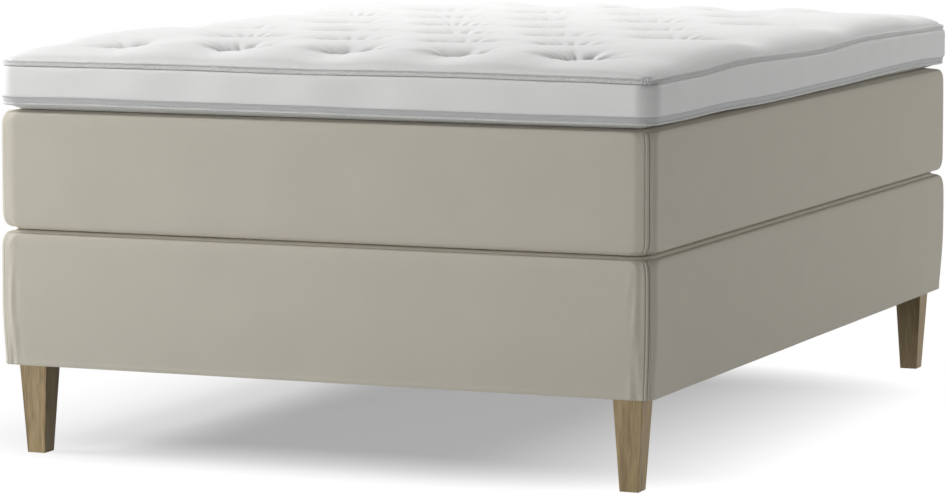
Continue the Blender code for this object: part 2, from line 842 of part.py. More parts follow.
def make_zip_tape(name, low, high, chain_at, finish):
    """Half of the zip: a tape round the topper with its row of teeth along the edge that meets the other."""
    away = 1 if chain_at == low else -1
    chain_end = chain_at + away * chain_half_width
    shoulder = chain_at + away * chain_half_width * chain_flat_share
    front = [
        (zip_offset(chain_at) + chain_rise, chain_at),
        (zip_offset(shoulder) + chain_rise, shoulder),
        (zip_offset(chain_end), chain_end),
    ]
    if away > 0:
        front.append((zip_offset(high), high))
    else:
        front = [(zip_offset(low), low)] + front[::-1]
    back = [(zip_offset(high) - zip_tape_thickness, high), (zip_offset(low) - zip_tape_thickness, low)]
    shape = stacked_loops(front + back, topper_corner_radius, hidden_side_steps, ring=True)
    return new_object(name, shape, finish, smooth_angle=cloth_smooth_angle)


def make_topper(finishes, body):
    pieces = []
    bottom = mattress_top + fit_gap / 2
    zip_low, zip_meet, zip_high = zip_levels()
    flange_foot = mattress_top + flange_low
    flange_head = flange_foot + flange_thickness
    core_low = bottom + topper_bottom_thickness + fit_gap
    lip_in = zip_offset(zip_low) - zip_tape_thickness - core_setback
    levels = (
        (-topper_bottom_recess, bottom),
        (-topper_bottom_recess / 3, (bottom + flange_foot) / 2),
        (flange_reach, flange_foot),
        (flange_reach, flange_head),
        (lip_in + fit_gap, flange_head),
        (lip_in + fit_gap, core_low - fit_gap),
    )
    shape = stacked_loops(levels, topper_corner_radius, plan_side_steps)
    cover = new_object(
        "topper_bottom_cover", shape, finishes["white_knit"], smooth_angle=cloth_smooth_angle
    )
    pieces.append(cover)

    below = zip_meet - fit_gap / 2
    above = zip_meet + fit_gap / 2
    tape = finishes["zip_tape"]
    pieces.append(make_zip_tape("topper_zip_tape_lower", zip_low, below, below, tape))
    pieces.append(make_zip_tape("topper_zip_tape_upper", above, zip_high, above, tape))

    border_low = zip_high + fit_gap
    border_high = border_top - fit_gap / 2
    face = face_levels(
        border_low, border_high, border_low_offset, border_high_offset, border_bulge, border_steps
    )
    back = [
        (border_high_offset - border_wall_high, border_high),
        (border_low_offset - border_wall_low, border_low),
    ]
    shape = stacked_loops(face + back, topper_corner_radius, plan_side_steps, ring=True)
    border = new_object("topper_border", shape, finishes["white_knit"], smooth_angle=cloth_smooth_angle)
    pieces.append(border)

    levels = (
        (lip_in, core_low),
        (lip_in, zip_low),
        (zip_offset(zip_low) - zip_tape_thickness - fit_gap, zip_low + fit_gap),
        (zip_offset(zip_high) - zip_tape_thickness - fit_gap, zip_high),
        (border_low_offset - border_wall_low - fit_gap, border_low),
        (border_high_offset - border_wall_high - fit_gap, border_high),
    )
    shape = stacked_loops(levels, topper_corner_radius, hidden_side_steps)
    pieces.append(new_object("topper_foam_core", shape, finishes["foam"]))
    pieces.append(make_tufted_top(finishes["white_knit"]))
    for piece in pieces:
        hang_on(piece, body)


def zip_frame():
    """Place and tilt of the slider: on the chain at the head end, near the left corner, facing out."""
    low, meet, high = zip_levels()
    lean = math.atan2(zip_band_high_offset - zip_band_low_offset, high - low)
    out = half_length + zip_offset(meet)
    place = Vector((-half_width + slider_end_margin, out, meet))
    return place, lean


def joined(parts):
    """One bmesh of several closed ones that overlap, made one body by Boolean unions."""
    objects = []
    for number, part in enumerate(parts):
        objects.append(new_object("joining_%d" % number, part, None))
    first = objects[0]
    for other in objects[1:]:
        union = first.modifiers.new("union", "BOOLEAN")
        union.operation = "UNION"
        union.object = other
    bpy.context.view_layer.update()
    graph = bpy.context.evaluated_depsgraph_get()
    shape = bmesh.new()
    shape.from_object(first, graph)
    for used in objects:
        bpy.data.objects.remove(used, do_unlink=True)
    return shape


def box_part(low, high):
    low, high = Vector(low), Vector(high)
    shape = bmesh.new()
    bmesh.ops.create_cube(shape, size=1.0)
    bmesh.ops.scale(shape, vec=high - low, verts=shape.verts)
    bmesh.ops.translate(shape, vec=(low + high) / 2, verts=shape.verts)
    return shape


def make_zip_slider(finishes, topper):
    """The slider in its own frame: X along the zip, Y out of the tape and Z up the tape."""
    place, lean = zip_frame()
    channel = chain_rise + slider_clearance
    plate_out = channel + slider_plate
    half_long = slider_length / 2
    half_wide = slider_width / 2
    inner = chain_half_width + slider_clearance
    overlap = slider_edge_radius
    parts = [box_part((-half_long, channel, -half_wide), (half_long, plate_out, half_wide))]
    for side in (DOWN, UP):
        low, high = sorted((side * inner, side * half_wide))
        wall_out = channel + overlap
        parts.append(box_part((-half_long, slider_clearance, low), (half_long, wall_out, high)))
    arch_half = arch_length / 2
    arch_side = arch_width / 2
    arch_low = plate_out + arch_opening
    arch_high = arch_low + arch_bar
    parts.append(box_part((-arch_half, arch_low, -arch_side), (arch_half, arch_high, arch_side)))
    for side in (DOWN, UP):
        low, high = sorted((side * (arch_half - arch_bar), side * arch_half))
        foot = plate_out - overlap
        parts.append(box_part((low, foot, -arch_side), (high, arch_low + overlap, arch_side)))
    slider = new_object("zip_slider", joined(parts), finishes["steel"])
    slider.location = place
    slider.rotation_euler = (-lean, 0.0, 0.0)

    arm_in = arch_side + pull_arm_room
    arm_out = arm_in + pull_arm_width
    half_pin = pull_pin / 2
    half_thick = pull_thickness / 2
    arm_end = pull_window_length + overlap
    arm_start = -half_pin * pull_arm_share
    arm_thick = half_thick * pull_arm_share
    parts = [box_part((-half_pin, -half_pin, -arm_out), (half_pin, half_pin, arm_out))]
    for side in (DOWN, UP):
        low, high = sorted((side * arm_in, side * arm_out))
        parts.append(box_part((arm_start, -arm_thick, low), (arm_end, arm_thick, high)))
    tab_low = (pull_window_length, -half_thick, -arm_out)
    parts.append(box_part(tab_low, (pull_length, half_thick, arm_out)))
    pull = new_object("zip_pull", joined(parts), finishes["steel"])
    turn = Matrix.Rotation(-lean, 4, "X")
    pull.location = place + turn @ Vector((0.0, plate_out + pull_pin_height, 0.0))
    pull.rotation_euler = (-lean, 0.0, 0.0)
    hang_on(slider, topper)
    hang_on(pull, slider)


def main():
    clear_scene()
    finishes = make_materials()
    base = body_empty("base")
    mattress = body_empty("mattress", (0.0, 0.0, base_top))
    topper = body_empty("topper", (0.0, 0.0, mattress_top))
    hang_on(mattress, base)
    hang_on(topper, mattress)
    make_base(finishes, base)
    make_mattress(finishes, mattress)
    make_topper(finishes, topper)
    make_zip_slider(finishes, topper)


main()
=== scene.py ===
"""Looks of the box spring bed: its cloth, tufted topper, oak legs, light, floor and camera.

Metres, +Z up. The foot end faces -Y and the floor is at zero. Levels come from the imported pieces.
"""

import math

import bmesh
import bpy
import numpy as np
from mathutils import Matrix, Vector


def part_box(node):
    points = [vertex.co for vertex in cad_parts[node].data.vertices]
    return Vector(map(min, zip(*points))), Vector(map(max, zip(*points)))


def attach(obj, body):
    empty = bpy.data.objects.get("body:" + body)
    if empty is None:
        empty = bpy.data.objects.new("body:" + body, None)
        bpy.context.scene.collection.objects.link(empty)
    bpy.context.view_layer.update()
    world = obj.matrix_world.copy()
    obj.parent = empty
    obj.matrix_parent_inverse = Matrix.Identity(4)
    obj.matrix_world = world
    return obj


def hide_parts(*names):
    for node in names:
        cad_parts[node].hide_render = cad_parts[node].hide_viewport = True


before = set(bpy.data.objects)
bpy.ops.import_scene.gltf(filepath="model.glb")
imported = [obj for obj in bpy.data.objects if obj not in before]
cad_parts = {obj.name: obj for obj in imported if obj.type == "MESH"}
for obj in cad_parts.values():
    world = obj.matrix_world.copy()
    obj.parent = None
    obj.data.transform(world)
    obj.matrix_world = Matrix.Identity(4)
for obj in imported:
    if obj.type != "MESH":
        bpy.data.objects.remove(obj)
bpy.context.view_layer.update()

# Plan of the bed, and levels read from the frame
half_width = 0.700
half_length = 1.000
side_names = ("foot", "right", "head", "left")
half_sides = (half_width, half_length, half_width, half_length)
mattress_edge_rise = 0.0034
border_drop = 0.0036
hem_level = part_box("base_side_cover_foot")[0].z
felt_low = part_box("base_felt_pad")[0].z
base_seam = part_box("base_side_cover_foot")[1].z
base_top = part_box("base_top_cover")[1].z
mattress_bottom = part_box("mattress_bottom_cover")[0].z
mattress_low_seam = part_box("mattress_side_cover_foot")[0].z
mattress_high_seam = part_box("mattress_side_cover_foot")[1].z + mattress_edge_rise
mattress_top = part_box("mattress_top_cover")[1].z
topper_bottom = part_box("topper_bottom_cover")[0].z
zip_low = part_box("topper_zip_tape_lower")[0].z
zip_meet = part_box("topper_zip_tape_lower")[1].z
zip_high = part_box("topper_zip_tape_upper")[1].z - border_drop
border_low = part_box("topper_border")[0].z - border_drop
border_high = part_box("topper_border")[1].z
crown_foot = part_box("topper_tufted_top")[0].z

# Upholstery of base and mattress
corner_radius = 0.0220
seam_corner_radius = 0.0520
corner_roll = 0.0290
corner_steps = 30
seam_recess = 0.0090
upholstery_depth = 0.0160
inner_gap = 0.0006
base_bulge = 0.0090
base_corner_share = 0.75
mattress_bulge = 0.0070
mattress_corner_share = 0.45
soft_edge_power = 4.0
firm_edge_power = 7.0
hem_round_power = 1.6
hem_back_radius = 0.0015
seam_back_radius = 0.0420
cloth_ripple = 0.0007
cloth_ripple_length = 0.2600
calm_height = 0.0300
hem_height = 0.0110
hem_roll = 0.0010
hem_groove_share = 0.3
soft_crease = 60

# The flat cloths over and under the layers
lid_roll = 0.0140
lid_roll_wide = 0.0360
lid_drop_share = 0.9
lid_lump = 0.0008
lid_lump_length = 0.3000
lid_calm_width = 0.0800
lid_thinnest = 0.0001
lid_pitch = 0.0500

# Rows up a side, as shares of its height
base_row_shares = np.array(
    (0, 0.004, 0.012, 0.022, 0.03, 0.036, 0.042, 0.05, 0.065, 0.09, 0.13, 0.18, 0.24, 0.31, 0.4, 0.5, 0.6,
     0.7, 0.78, 0.84, 0.88, 0.905, 0.925, 0.943, 0.958, 0.97, 0.98, 0.988, 0.994, 0.998, 1.0)
)
mattress_low_shares = np.array(
    (0, 0.002, 0.007, 0.014, 0.024, 0.036, 0.05, 0.066, 0.085, 0.11, 0.14, 0.19, 0.25, 0.33, 0.42)
)
mattress_row_shares = np.concatenate((mattress_low_shares, [0.5], 1 - mattress_low_shares[::-1]))

# Stations along a side: distances from its corner, and the pitch between them further in
corner_distances = np.array(
    (0.002, 0.005, 0.008, 0.011, 0.015, 0.020, 0.026, 0.033, 0.041, 0.052, 0.066, 0.085)
)
topper_corner_distances = corner_distances[:8]
station_pitch = 0.0220

# Corner seams: places of the sewn lines from the corner's middle, and how deep each one is
mattress_seam_lines = ((-0.0084, 1.0), (0.0, 1.0), (0.0045, 0.35))
base_seam_lines = ((-0.0083, 1.0), (-0.0019, 1.0), (0.0030, 0.8))
seam_groove_depth = 0.0015
seam_groove_width = 0.0013
seam_strip_rise = 0.0005
seam_hollow_depth = 0.0016
seam_hollow_place = -0.0185
seam_hollow_width = 0.0070
pucker_depth = 0.0016
pucker_place = -0.0300
pucker_width = 0.0160
pucker_length = 0.1000
pucker_squeeze = 4

# Topper's zip band and border
topper_corner_radius = 0.0320
topper_arc_steps = 8
zip_band_low_offset = 0.0005
zip_band_high_offset = 0.0075
zip_tape_thickness = 0.0015
zip_tape_tuck = 0.0030
zip_gap = 0.0003
chain_rise = 0.0009
chain_half_width = 0.0024
chain_flat_share = 0.8
border_low_offset = 0.0078
border_high_offset = 0.0020
border_bulge = 0.0105
border_wall = 0.0048
border_rows = 15
border_wrinkle = 0.0024
wrinkle_length = 0.1700
wrinkle_stretch = 0.35
band_crease = 50

# Topper's crowned and tufted face
crown_top = 0.0500
crown_edge_width = 0.1350
crown_power = 2.6
tuft_end_margin = 0.1700
tuft_side_margin = 0.2150
tuft_columns = 5
tuft_rows = 7
tuft_depth = 0.0430
tuft_reach = 0.0320
tuft_power = 1.5
tuft_stretch = 1.2
hollow_depth = 0.0138
hollow_radius_across = 0.0780
hollow_radius_along = 0.0900
hollow_run_out_share = 0.18
fold_counts = (13, 18)
fold_depth = 0.0160
fold_reach = 0.0200
fold_extent = 6
fold_sharpness = 0.07
fold_warps = (0.30, 0.20)
fold_strengths = (0.78, 0.12, 0.10)
top_grid_pitch = 0.0032

# Topper's seams: a rolled lip under each line of overlock thread
top_lip_out = 0.0054
top_lip_half = 0.0046
top_lip_depth = 0.0042
top_lip_lift = 0.0004
top_groove_offset = 0.0050
top_groove_level = 0.0078
bottom_lip_out = 0.0042
bottom_lip_level = 0.0120
bottom_lip_half = 0.0021
lip_steps = 12
lip_below_thread = 0.0005
overlock_pitch = 0.0046
thread_radius = 0.0013
thread_sides = 4
thread_steps = 7
thread_arc_steps = 12
thread_wrap = (-100, 120)
thread_lean = 0.5
thread_lean_spread = (0.4, 1.6)
thread_jitter = 0.12

# Topper's bottom cloth, which rises to the bottom seam round its edge
bottom_inset = 0.0020
bottom_thickness = 0.0024
bottom_roll = 0.0340
bottom_rise = 0.0104
bottom_pitch = 0.0600

# How far the topper's top seam, and its zip band and bottom edge, stand over or under their levels.
# Each side has a row of shares of its length from -1 to 1, and a row of heights there.
top_seam_knots = (
    ((-1.0, -0.45, -0.05, 0.40, 0.80, 1.0), (0.0, 0.0010, -0.0008, 0.0012, -0.0006, -0.0028)),
    ((-1.0, -0.75, -0.46, 0.03, 0.38, 1.0), (-0.0028, -0.0020, 0.0050, -0.0018, 0.0064, 0.0010)),
    ((-1.0, -0.40, 0.10, 0.55, 1.0), (0.0010, -0.0010, 0.0015, -0.0008, 0.0)),
    ((-1.0, -0.40, 0.05, 0.50, 1.0), (0.0, 0.0045, -0.0015, 0.0050, 0.0)),
)
low_seam_knots = (
    ((-1.0, -0.75, -0.45, -0.10, 0.20, 0.62, 1.0), (0.0020, 0.0036, 0.0027, 0.0026, 0.0008, -0.0006, 0.0)),
    ((-1.0, -0.80, -0.60, -0.30, 0.05, 0.70, 1.0), (0.0, -0.0012, 0.0008, -0.0024, -0.0006, 0.0058, 0.0010)),
    ((-1.0, -0.92, -0.50, 0.0, 0.45, 1.0), (0.0010, -0.0006, -0.0014, -0.0004, -0.0012, 0.0)),
    ((-1.0, -0.60, -0.10, 0.40, 1.0), (0.0, 0.0024, -0.0016, 0.0030, 0.0020)),
)
low_wave = 0.0004
low_wave_length = 0.1600
low_wave_corner = 0.0800
top_wave_reach = 0.0800

# Fillings and undercover
pocket_width = 0.0700
pocket_steps = 6
pocket_notch = 0.0070
pocket_dome = 0.0110
pocket_flat_share = 0.4
pocket_dome_power = 1.5
pocket_crease = 50
felt_dent = 0.0003
foam_pad_dent = 0.0012
foam_block_dent = 0.0010
dent_length = 0.2200
pad_pitch = 0.0600
pad_crease = 40
dust_thickness = 0.0008
dust_sag = 0.0022
dust_sag_change = 0.3
dust_wave_length = 0.2500
dust_corner_radius = 0.0020
dust_pitch = 0.0300

# Ripples: waves between these shares of their length, and what brings their sum to about 1
ripple_spread = (0.6, 1.7)
ripple_norm = 1.6

# Colours, in sRGB from 0 to 255: single ones, and pairs of a dark and a pale one
greige = (206, 201, 187)
knit_white = (243, 243, 242)
# The zip tape: a pale tone, darkened in part to paint the shade that falls under the border's overhang.
pale_tape_with_painted_shade = (209, 210, 210)
oak_tones = ((122, 100, 64), (176, 154, 112))
pine_tones = ((188, 148, 96), (222, 194, 148))
zinc_tones = ((168, 170, 174), (206, 208, 212))
pocket_tones = ((212, 212, 206), (228, 228, 222))
felt_tones = ((92, 92, 90), (150, 150, 146))
foam_tones = ((228, 220, 190), (238, 232, 208))
dust_tones = ((38, 38, 39), (58, 58, 60))


def linear(channel):
    return channel / 12.92 if channel <= 0.04045 else ((channel + 0.055) / 1.055) ** 2.4


def rgba(colour):
    return tuple(linear(channel / 255) for channel in colour) + (1.0,)


def shaded(colour, factor):
    """A linear colour made darker or lighter."""
    return tuple(min(1.0, channel * factor) for channel in colour[:3]) + (1.0,)


class Nodes:
    """A node tree that grows node by node."""

    def __init__(self, tree):
        self.tree = tree

    def add(self, kind, values=(), **settings):
        """Adds a node. values pairs its inputs, by name or number, with a value or another node."""
        node = self.tree.nodes.new(kind)
        for setting, value in settings.items():
            setattr(node, setting, value)
        for key, value in dict(values).items():
            self.put(node, key, value)
        return node

    def put(self, node, key, value):
        if isinstance(value, bpy.types.Node):
            value = value.outputs[0]
        if isinstance(value, bpy.types.NodeSocket):
            self.tree.links.new(value, node.inputs[key])
        else:
            node.inputs[key].default_value = value

    def math(self, operation, *values):
        return self.add("ShaderNodeMath", enumerate(values), operation=operation)

    def vector(self, operation, *values):
        return self.add("ShaderNodeVectorMath", enumerate(values), operation=operation)

    def blend(self, first, second, second_share):
        """Two values added by their shares."""
        first_part = self.math("MULTIPLY", first, 1 - second_share)
        return self.math("ADD", first_part, self.math("MULTIPLY", second, second_share))


class Finish(Nodes):
    """A material on a Principled shader."""

    def __init__(self, name):
        self.material = bpy.data.materials.new(name)
        self.material.use_nodes = True
        super().__init__(self.material.node_tree)
        self.shader = self.tree.nodes["Principled BSDF"]
        self.place = self.add("ShaderNodeTexCoord").outputs["Object"]

    def mix(self, share, first, second):
        """A colour between two, at share."""
        return self.add("ShaderNodeMix", {0: share, 6: first, 7: second}, data_type="RGBA").outputs[2]

    def between(self, share, tones):
        return self.mix(share, rgba(tones[0]), rgba(tones[1]))

    def noise(self, vector, size, detail=2.0, roughness=0.5):
        """Smooth noise from 0 to 1 whose lumps are about size across."""
        values = {"Vector": vector, "Scale": 1 / size, "Detail": detail, "Roughness": roughness}
        return self.add("ShaderNodeTexNoise", values).outputs["Fac"]

    def bump(self, height, depth):
        """Shading relief of that depth."""
        return self.add("ShaderNodeBump", {"Height": height, "Distance": depth}).outputs["Normal"]

    def cloth_plane(self, level_share=0.7):
        """Two lengths across a surface that faces mostly along one axis: (across, up)."""
        point = self.add("ShaderNodeSeparateXYZ", {0: self.place})
        facing = self.add("ShaderNodeNewGeometry").outputs["True Normal"]
        part = self.add("ShaderNodeSeparateXYZ", {0: self.vector("ABSOLUTE", facing)})
        sideways = self.math("GREATER_THAN", part.outputs[0], part.outputs[1])
        upwards = self.math("GREATER_THAN", part.outputs[2], level_share)
        across = self.add("ShaderNodeMix", {0: sideways, 2: point.outputs[0], 3: point.outputs[1]})
        up = self.add("ShaderNodeMix", {0: upwards, 2: point.outputs[2], 3: point.outputs[1]})
        return across.outputs[0], up.outputs[0]

    def threads(self, length, pitch):
        """A wave from -1 to 1 that repeats at pitch along a length."""
        return self.math("SINE", self.math("MULTIPLY", length, 2 * math.pi / pitch))

    def finish(self, **inputs):
        for key, value in inputs.items():
            self.put(self.shader, key.replace("_", " "), value)
        return self.material


def woven_finish(name, colour, pitch, depth, unevenness, sheen, roughness):
    """Plain-woven cloth: crossing threads, faint uneven dye, thicker bits of yarn and a soft sheen."""
    patch_size = 0.09
    slub_size = 0.012
    slub_stretch = (1.0, 1.0, 6.0)
    slub_share = 0.3
    # How much darker the gaps between threads are painted: painted shade between the threads.
    thread_gap_shade = 0.94
    thread_contrast = 0.5

    cloth = Finish(name)
    across, up = cloth.cloth_plane()
    weave = cloth.math("MULTIPLY", cloth.threads(across, pitch), cloth.threads(up, pitch))
    patches = cloth.noise(cloth.place, patch_size, detail=3.0)
    slubs = cloth.noise(cloth.vector("MULTIPLY", cloth.place, slub_stretch), slub_size, detail=3.0)
    darker = shaded(rgba(colour), 1 - unevenness)
    lighter = shaded(rgba(colour), 1 + unevenness)
    dyed = cloth.mix(cloth.blend(patches, slubs, slub_share), darker, lighter)
    on_thread = cloth.math("MULTIPLY_ADD", weave, 0.5, 0.5)
    # The gaps between threads are painted darker: painted shade, not a second yarn colour.
    threads = cloth.mix(on_thread, shaded(darker, thread_gap_shade), dyed)
    tint = cloth.mix(thread_contrast, dyed, threads)
    relief = cloth.bump(weave, depth)
    return cloth.finish(Base_Color=tint, Roughness=roughness, Normal=relief, Sheen_Weight=sheen)


def knitted_finish(name, colour, pitch, depth, unevenness):
    """Smooth stretch knit: fine ribs of loops."""
    patch_size = 0.12
    loop_height_share = 0.8

    cloth = Finish(name)
    across, up = cloth.cloth_plane()
    ribs = cloth.math("ABSOLUTE", cloth.threads(across, 2 * pitch))
    loops = cloth.math("ABSOLUTE", cloth.threads(up, 2 * pitch * loop_height_share))
    relief = cloth.bump(cloth.math("MULTIPLY", ribs, loops), depth)
    patches = cloth.noise(cloth.place, patch_size)
    tint = cloth.mix(patches, shaded(rgba(colour), 1 - unevenness), rgba(colour))
    return cloth.finish(Base_Color=tint, Roughness=0.9, Normal=relief, Sheen_Weight=0.08)


def wood_finish(name, tones, streak_width, streak_length, upright, roughness, depth):
    """Planed wood: streaks and fine pores along the grain, and growth bands across it."""
    band_share = 0.4
    ramp_places = (0.36, 0.62)
    pore_level = 0.66
    pore_strength = 0.25
    pore_tone = 0.5
    shine_change = 0.12

    wood = Finish(name)
    squeeze = streak_width / streak_length
    along = (1.0, 1.0, squeeze) if upright else (1.0, squeeze, 1.0)
    grain = wood.vector("MULTIPLY", wood.place, along)
    streaks = wood.noise(grain, streak_width, detail=5.0, roughness=0.6)
    bands = wood.noise(grain, streak_width * 5)
    pores = wood.noise(grain, streak_width / 4, roughness=0.7)
    mixed = wood.blend(streaks, bands, band_share)
    ramp = wood.add("ShaderNodeValToRGB", {0: mixed})
    for element, place, colour in zip(ramp.color_ramp.elements, ramp_places, tones):
        element.position = place
        element.color = rgba(colour)
    pored = wood.math("MULTIPLY", wood.math("GREATER_THAN", pores, pore_level), pore_strength)
    tint = wood.mix(pored, ramp.outputs[0], shaded(rgba(tones[0]), pore_tone))
    shine = wood.math("MULTIPLY_ADD", streaks, shine_change, roughness - shine_change / 2)
    return wood.finish(Base_Color=tint, Roughness=shine, Normal=wood.bump(mixed, depth))


def steel_finish(name, grain_size=0.004, least_roughness=0.25, roughness_change=0.2):
    """Zinc plate: small grains that shine unlike one another."""
    steel = Finish(name)
    grains = steel.noise(steel.place, grain_size, detail=3.0)
    tint = steel.between(grains, zinc_tones)
    shine = steel.math("MULTIPLY_ADD", grains, roughness_change, least_roughness)
    return steel.finish(Base_Color=tint, Metallic=1.0, Roughness=shine)


def dotted_finish(name, tones, tone_size, dot_pitch, randomness, depth, roughness, detail=4.0):
    """Small dots in relief, pressed in bonded cloth or the cells of foam, and a tone between two."""
    dotted = Finish(name)
    tint = dotted.between(dotted.noise(dotted.place, tone_size, detail), tones)
    values = {"Vector": dotted.place, "Scale": 1 / dot_pitch, "Randomness": randomness}
    dots = dotted.add("ShaderNodeTexVoronoi", values).outputs["Distance"]
    return dotted.finish(Base_Color=tint, Roughness=roughness, Normal=dotted.bump(dots, depth))


def felt_finish(name, fibre_size=0.002, lump_size=0.02, lump_share=0.4, depth=0.0004):
    felt = Finish(name)
    fibres = felt.noise(felt.place, fibre_size, detail=6.0, roughness=0.7)
    lumps = felt.noise(felt.place, lump_size, detail=3.0)
    tint = felt.between(felt.blend(fibres, lumps, lump_share), felt_tones)
    return felt.finish(Base_Color=tint, Roughness=0.95, Normal=felt.bump(fibres, depth))


finishes = {
    "greige_fabric": woven_finish(
        "greige_cloth", greige, pitch=0.0014, depth=0.00008, unevenness=0.05, sheen=0.03, roughness=0.85
    ),
    "white_knit": knitted_finish(
        "knitted_ticking", knit_white, pitch=0.0011, depth=0.00006, unevenness=0.03
    ),
    # The zip tape's cloth: its tone holds painted shade from the border's overhang.
    "zip_tape": woven_finish(
        "woven_zip_tape", pale_tape_with_painted_shade, pitch=0.0008, depth=0.00006, unevenness=0.04, sheen=0.0, roughness=0.6
    ),
    "oiled_oak": wood_finish(
        "oiled_oak_grain", oak_tones, streak_width=0.0040, streak_length=0.0900, upright=True,
        roughness=0.55, depth=0.0002,
    ),
    "pine": wood_finish(
        "planed_pine", pine_tones, streak_width=0.0080, streak_length=0.3000, upright=False,
        roughness=0.6, depth=0.0001,
    ),
    "steel": steel_finish("zinc_plated_steel"),
    "pocket_cloth": dotted_finish(
        "nonwoven_pockets", pocket_tones, tone_size=0.003, dot_pitch=0.0025, randomness=0.2,
        depth=0.0002, roughness=0.8,
    ),
    "felt": felt_finish("needled_felt"),
    "foam": dotted_finish(
        "open_cell_foam", foam_tones, tone_size=0.05, dot_pitch=0.0015, randomness=1.0,
        depth=0.0002, roughness=0.9, detail=2.0,
    ),
    "dust_cloth": dotted_finish(
        "nonwoven_undercover", dust_tones, tone_size=0.002, dot_pitch=0.0020, randomness=0.1,
        depth=0.0001, roughness=0.85,
    ),
}


def new_object(name, data):
    thing = bpy.data.objects.new(name, data)
    bpy.context.scene.collection.objects.link(thing)
    return thing


def new_piece(name, points, faces, body, slot, nodes=(), crease=None):
    """A piece of the bed from its points and faces, riding on a body and standing for CAD nodes.

    It is smooth except over edges that bend by more than crease degrees.
    """
    mesh = bpy.data.meshes.new(name)
    mesh.from_pydata(np.asarray(points, float).reshape(-1, 3).tolist(), [], faces)
    mesh.validate()
    shape = bmesh.new()
    shape.from_mesh(mesh)
    bmesh.ops.recalc_face_normals(shape, faces=shape.faces)
    shape.to_mesh(mesh)
    shape.free()
    mesh.shade_smooth()
    if crease:
        mesh.set_sharp_from_angle(angle=math.radians(crease))
    mesh.materials.append(finishes[slot])
    piece = new_object(name, mesh)
    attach(piece, body)
    if nodes:
        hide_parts(*nodes)
    return piece


def grid_faces(rows, columns, ring_rows=False, ring_columns=False, first=0):
    """Quads between the points of a grid, closed on itself across its rows or columns if asked."""
    row_ends = rows if ring_rows else rows - 1
    column_ends = columns if ring_columns else columns - 1
    low = np.arange(row_ends)[:, None] * columns
    high = (np.arange(1, row_ends + 1) % rows)[:, None] * columns
    left = np.arange(column_ends)[None, :]
    right = (np.arange(1, column_ends + 1) % columns)[None, :]
    quads = np.stack((low + left, low + right, high + right, high + left), axis=-1)
    return (quads.reshape(-1, 4) + first).tolist()


def closed_grid(upper, lower, plain_below=False):
    """Points and faces between two grids of points. plain_below makes the lower side a single face."""
    rows, columns = upper.shape[:2]
    count = rows * columns
    index = np.arange(count).reshape(rows, columns)
    rim = np.concatenate((index[0, :-1], index[:-1, -1], index[-1, :0:-1], index[:0:-1, 0]))
    faces = grid_faces(rows, columns)
    lower = lower.reshape(-1, 3)
    if plain_below:
        below = count + np.arange(len(rim))
        faces.append(below.tolist())
        lower = lower[rim]
    else:
        below = rim + count
        faces += [face[::-1] for face in grid_faces(rows, columns, first=count)]
    faces += np.stack((rim, below, np.roll(below, -1), np.roll(rim, -1)), axis=-1).tolist()
    return np.concatenate((upper.reshape(-1, 3), lower)), faces


def ripple(across, up, length, seed, waves=7):
    """Smooth irregular waves of about that length, from -1 to 1."""
    random = np.random.default_rng(seed)
    total = 0.0
    for _ in range(waves):
        turn = random.uniform(0, math.pi)
        number = 2 * math.pi / (length * random.uniform(*ripple_spread))
        phase = random.uniform(0, 2 * math.pi)
        total = total + np.sin(number * (across * math.cos(turn) + up * math.sin(turn)) + phase)
    return total / math.sqrt(waves) / ripple_norm


def bell(distance, width):
    return np.exp(-((distance / width) ** 2))


class Side:
    """Stations along one side of the plan, from one corner's seam to the next one's.

    turn counts quarter turns from the foot end: 0 foot, 1 right, 2 head, 3 left.
    """

    def __init__(self, turn, radius, distances, arc_steps, first_shift=0.0, last_shift=0.0):
        angle = math.radians(90 * turn)
        self.turn = turn
        self.along = np.array((math.cos(angle), math.sin(angle)))
        self.out = np.array((math.sin(angle), -math.cos(angle)))
        self.half_along, self.half_out = (half_width, half_length)[:: 1 if turn % 2 == 0 else -1]
        quarter = math.pi / 4
        first = np.linspace(-quarter + first_shift / radius, 0, arc_steps + 1)
        last = np.linspace(0, quarter + last_shift / radius, arc_steps + 1)
        straight = self.half_along - radius
        inner = np.concatenate((distances - straight, (straight - distances)[::-1]))
        middle_count = max(2, round(2 * (straight - distances[-1]) / station_pitch))
        middle = np.arange(1, middle_count) / middle_count
        between = (2 * middle - 1) * (straight - distances[-1])
        places = np.sort(np.concatenate((inner, between)))
        self.share = np.concatenate((-np.ones(len(first)), places / straight, np.ones(len(last))))
        self.angle = np.concatenate((first, np.zeros(len(places)), last))
        self.length = self.share * straight + radius * self.angle
        self.normal = self.outward(self.angle)
        self.count = len(self.angle)

    def outward(self, angle):
        """Directions out of the side, turned by angle at its corners."""
        return np.outer(np.cos(angle), self.out) + np.outer(np.sin(angle), self.along)

    def onward(self, angle):
        """Directions along the side, turned by angle at its corners."""
        return np.outer(-np.sin(angle), self.out) + np.outer(np.cos(angle), self.along)

    def points(self, radius, offset, height):
        """(rows, stations, 3) for a corner radius, offset and height per row, or per row and station."""
        parts = [np.asarray(part)[..., None] for part in (radius, offset, height)]
        radius, offset, height = np.broadcast_arrays(*parts)
        flat = self.along * self.share[:, None] * (self.half_along - radius)
        flat = flat + self.out * (self.half_out - radius)
        flat = flat + self.normal * (radius + offset)
        return np.concatenate((flat, height), axis=-1)

    def from_corner(self, radius):
        """Distance round the nearer corner from its middle: below 0 on this side, above 0 past it."""
        reach = np.asarray(radius) * (np.abs(self.angle) - math.pi / 4)
        return reach - (1 - np.abs(self.share)) * (self.half_along - np.asarray(radius))


def swell_share(height_share, hemmed, low_power=soft_edge_power, high_power=soft_edge_power):
    """How far a soft face stands out between its seams: 0 at them and 1 halfway."""
    from_middle = np.abs(2 * height_share - 1)
    power = np.where(height_share < 0.5, low_power, high_power)
    full = np.clip(1 - from_middle**power, 0, 1) ** (1 / power)
    return np.where(hemmed & (height_share < 0.5), 1 - from_middle**hem_round_power, full)


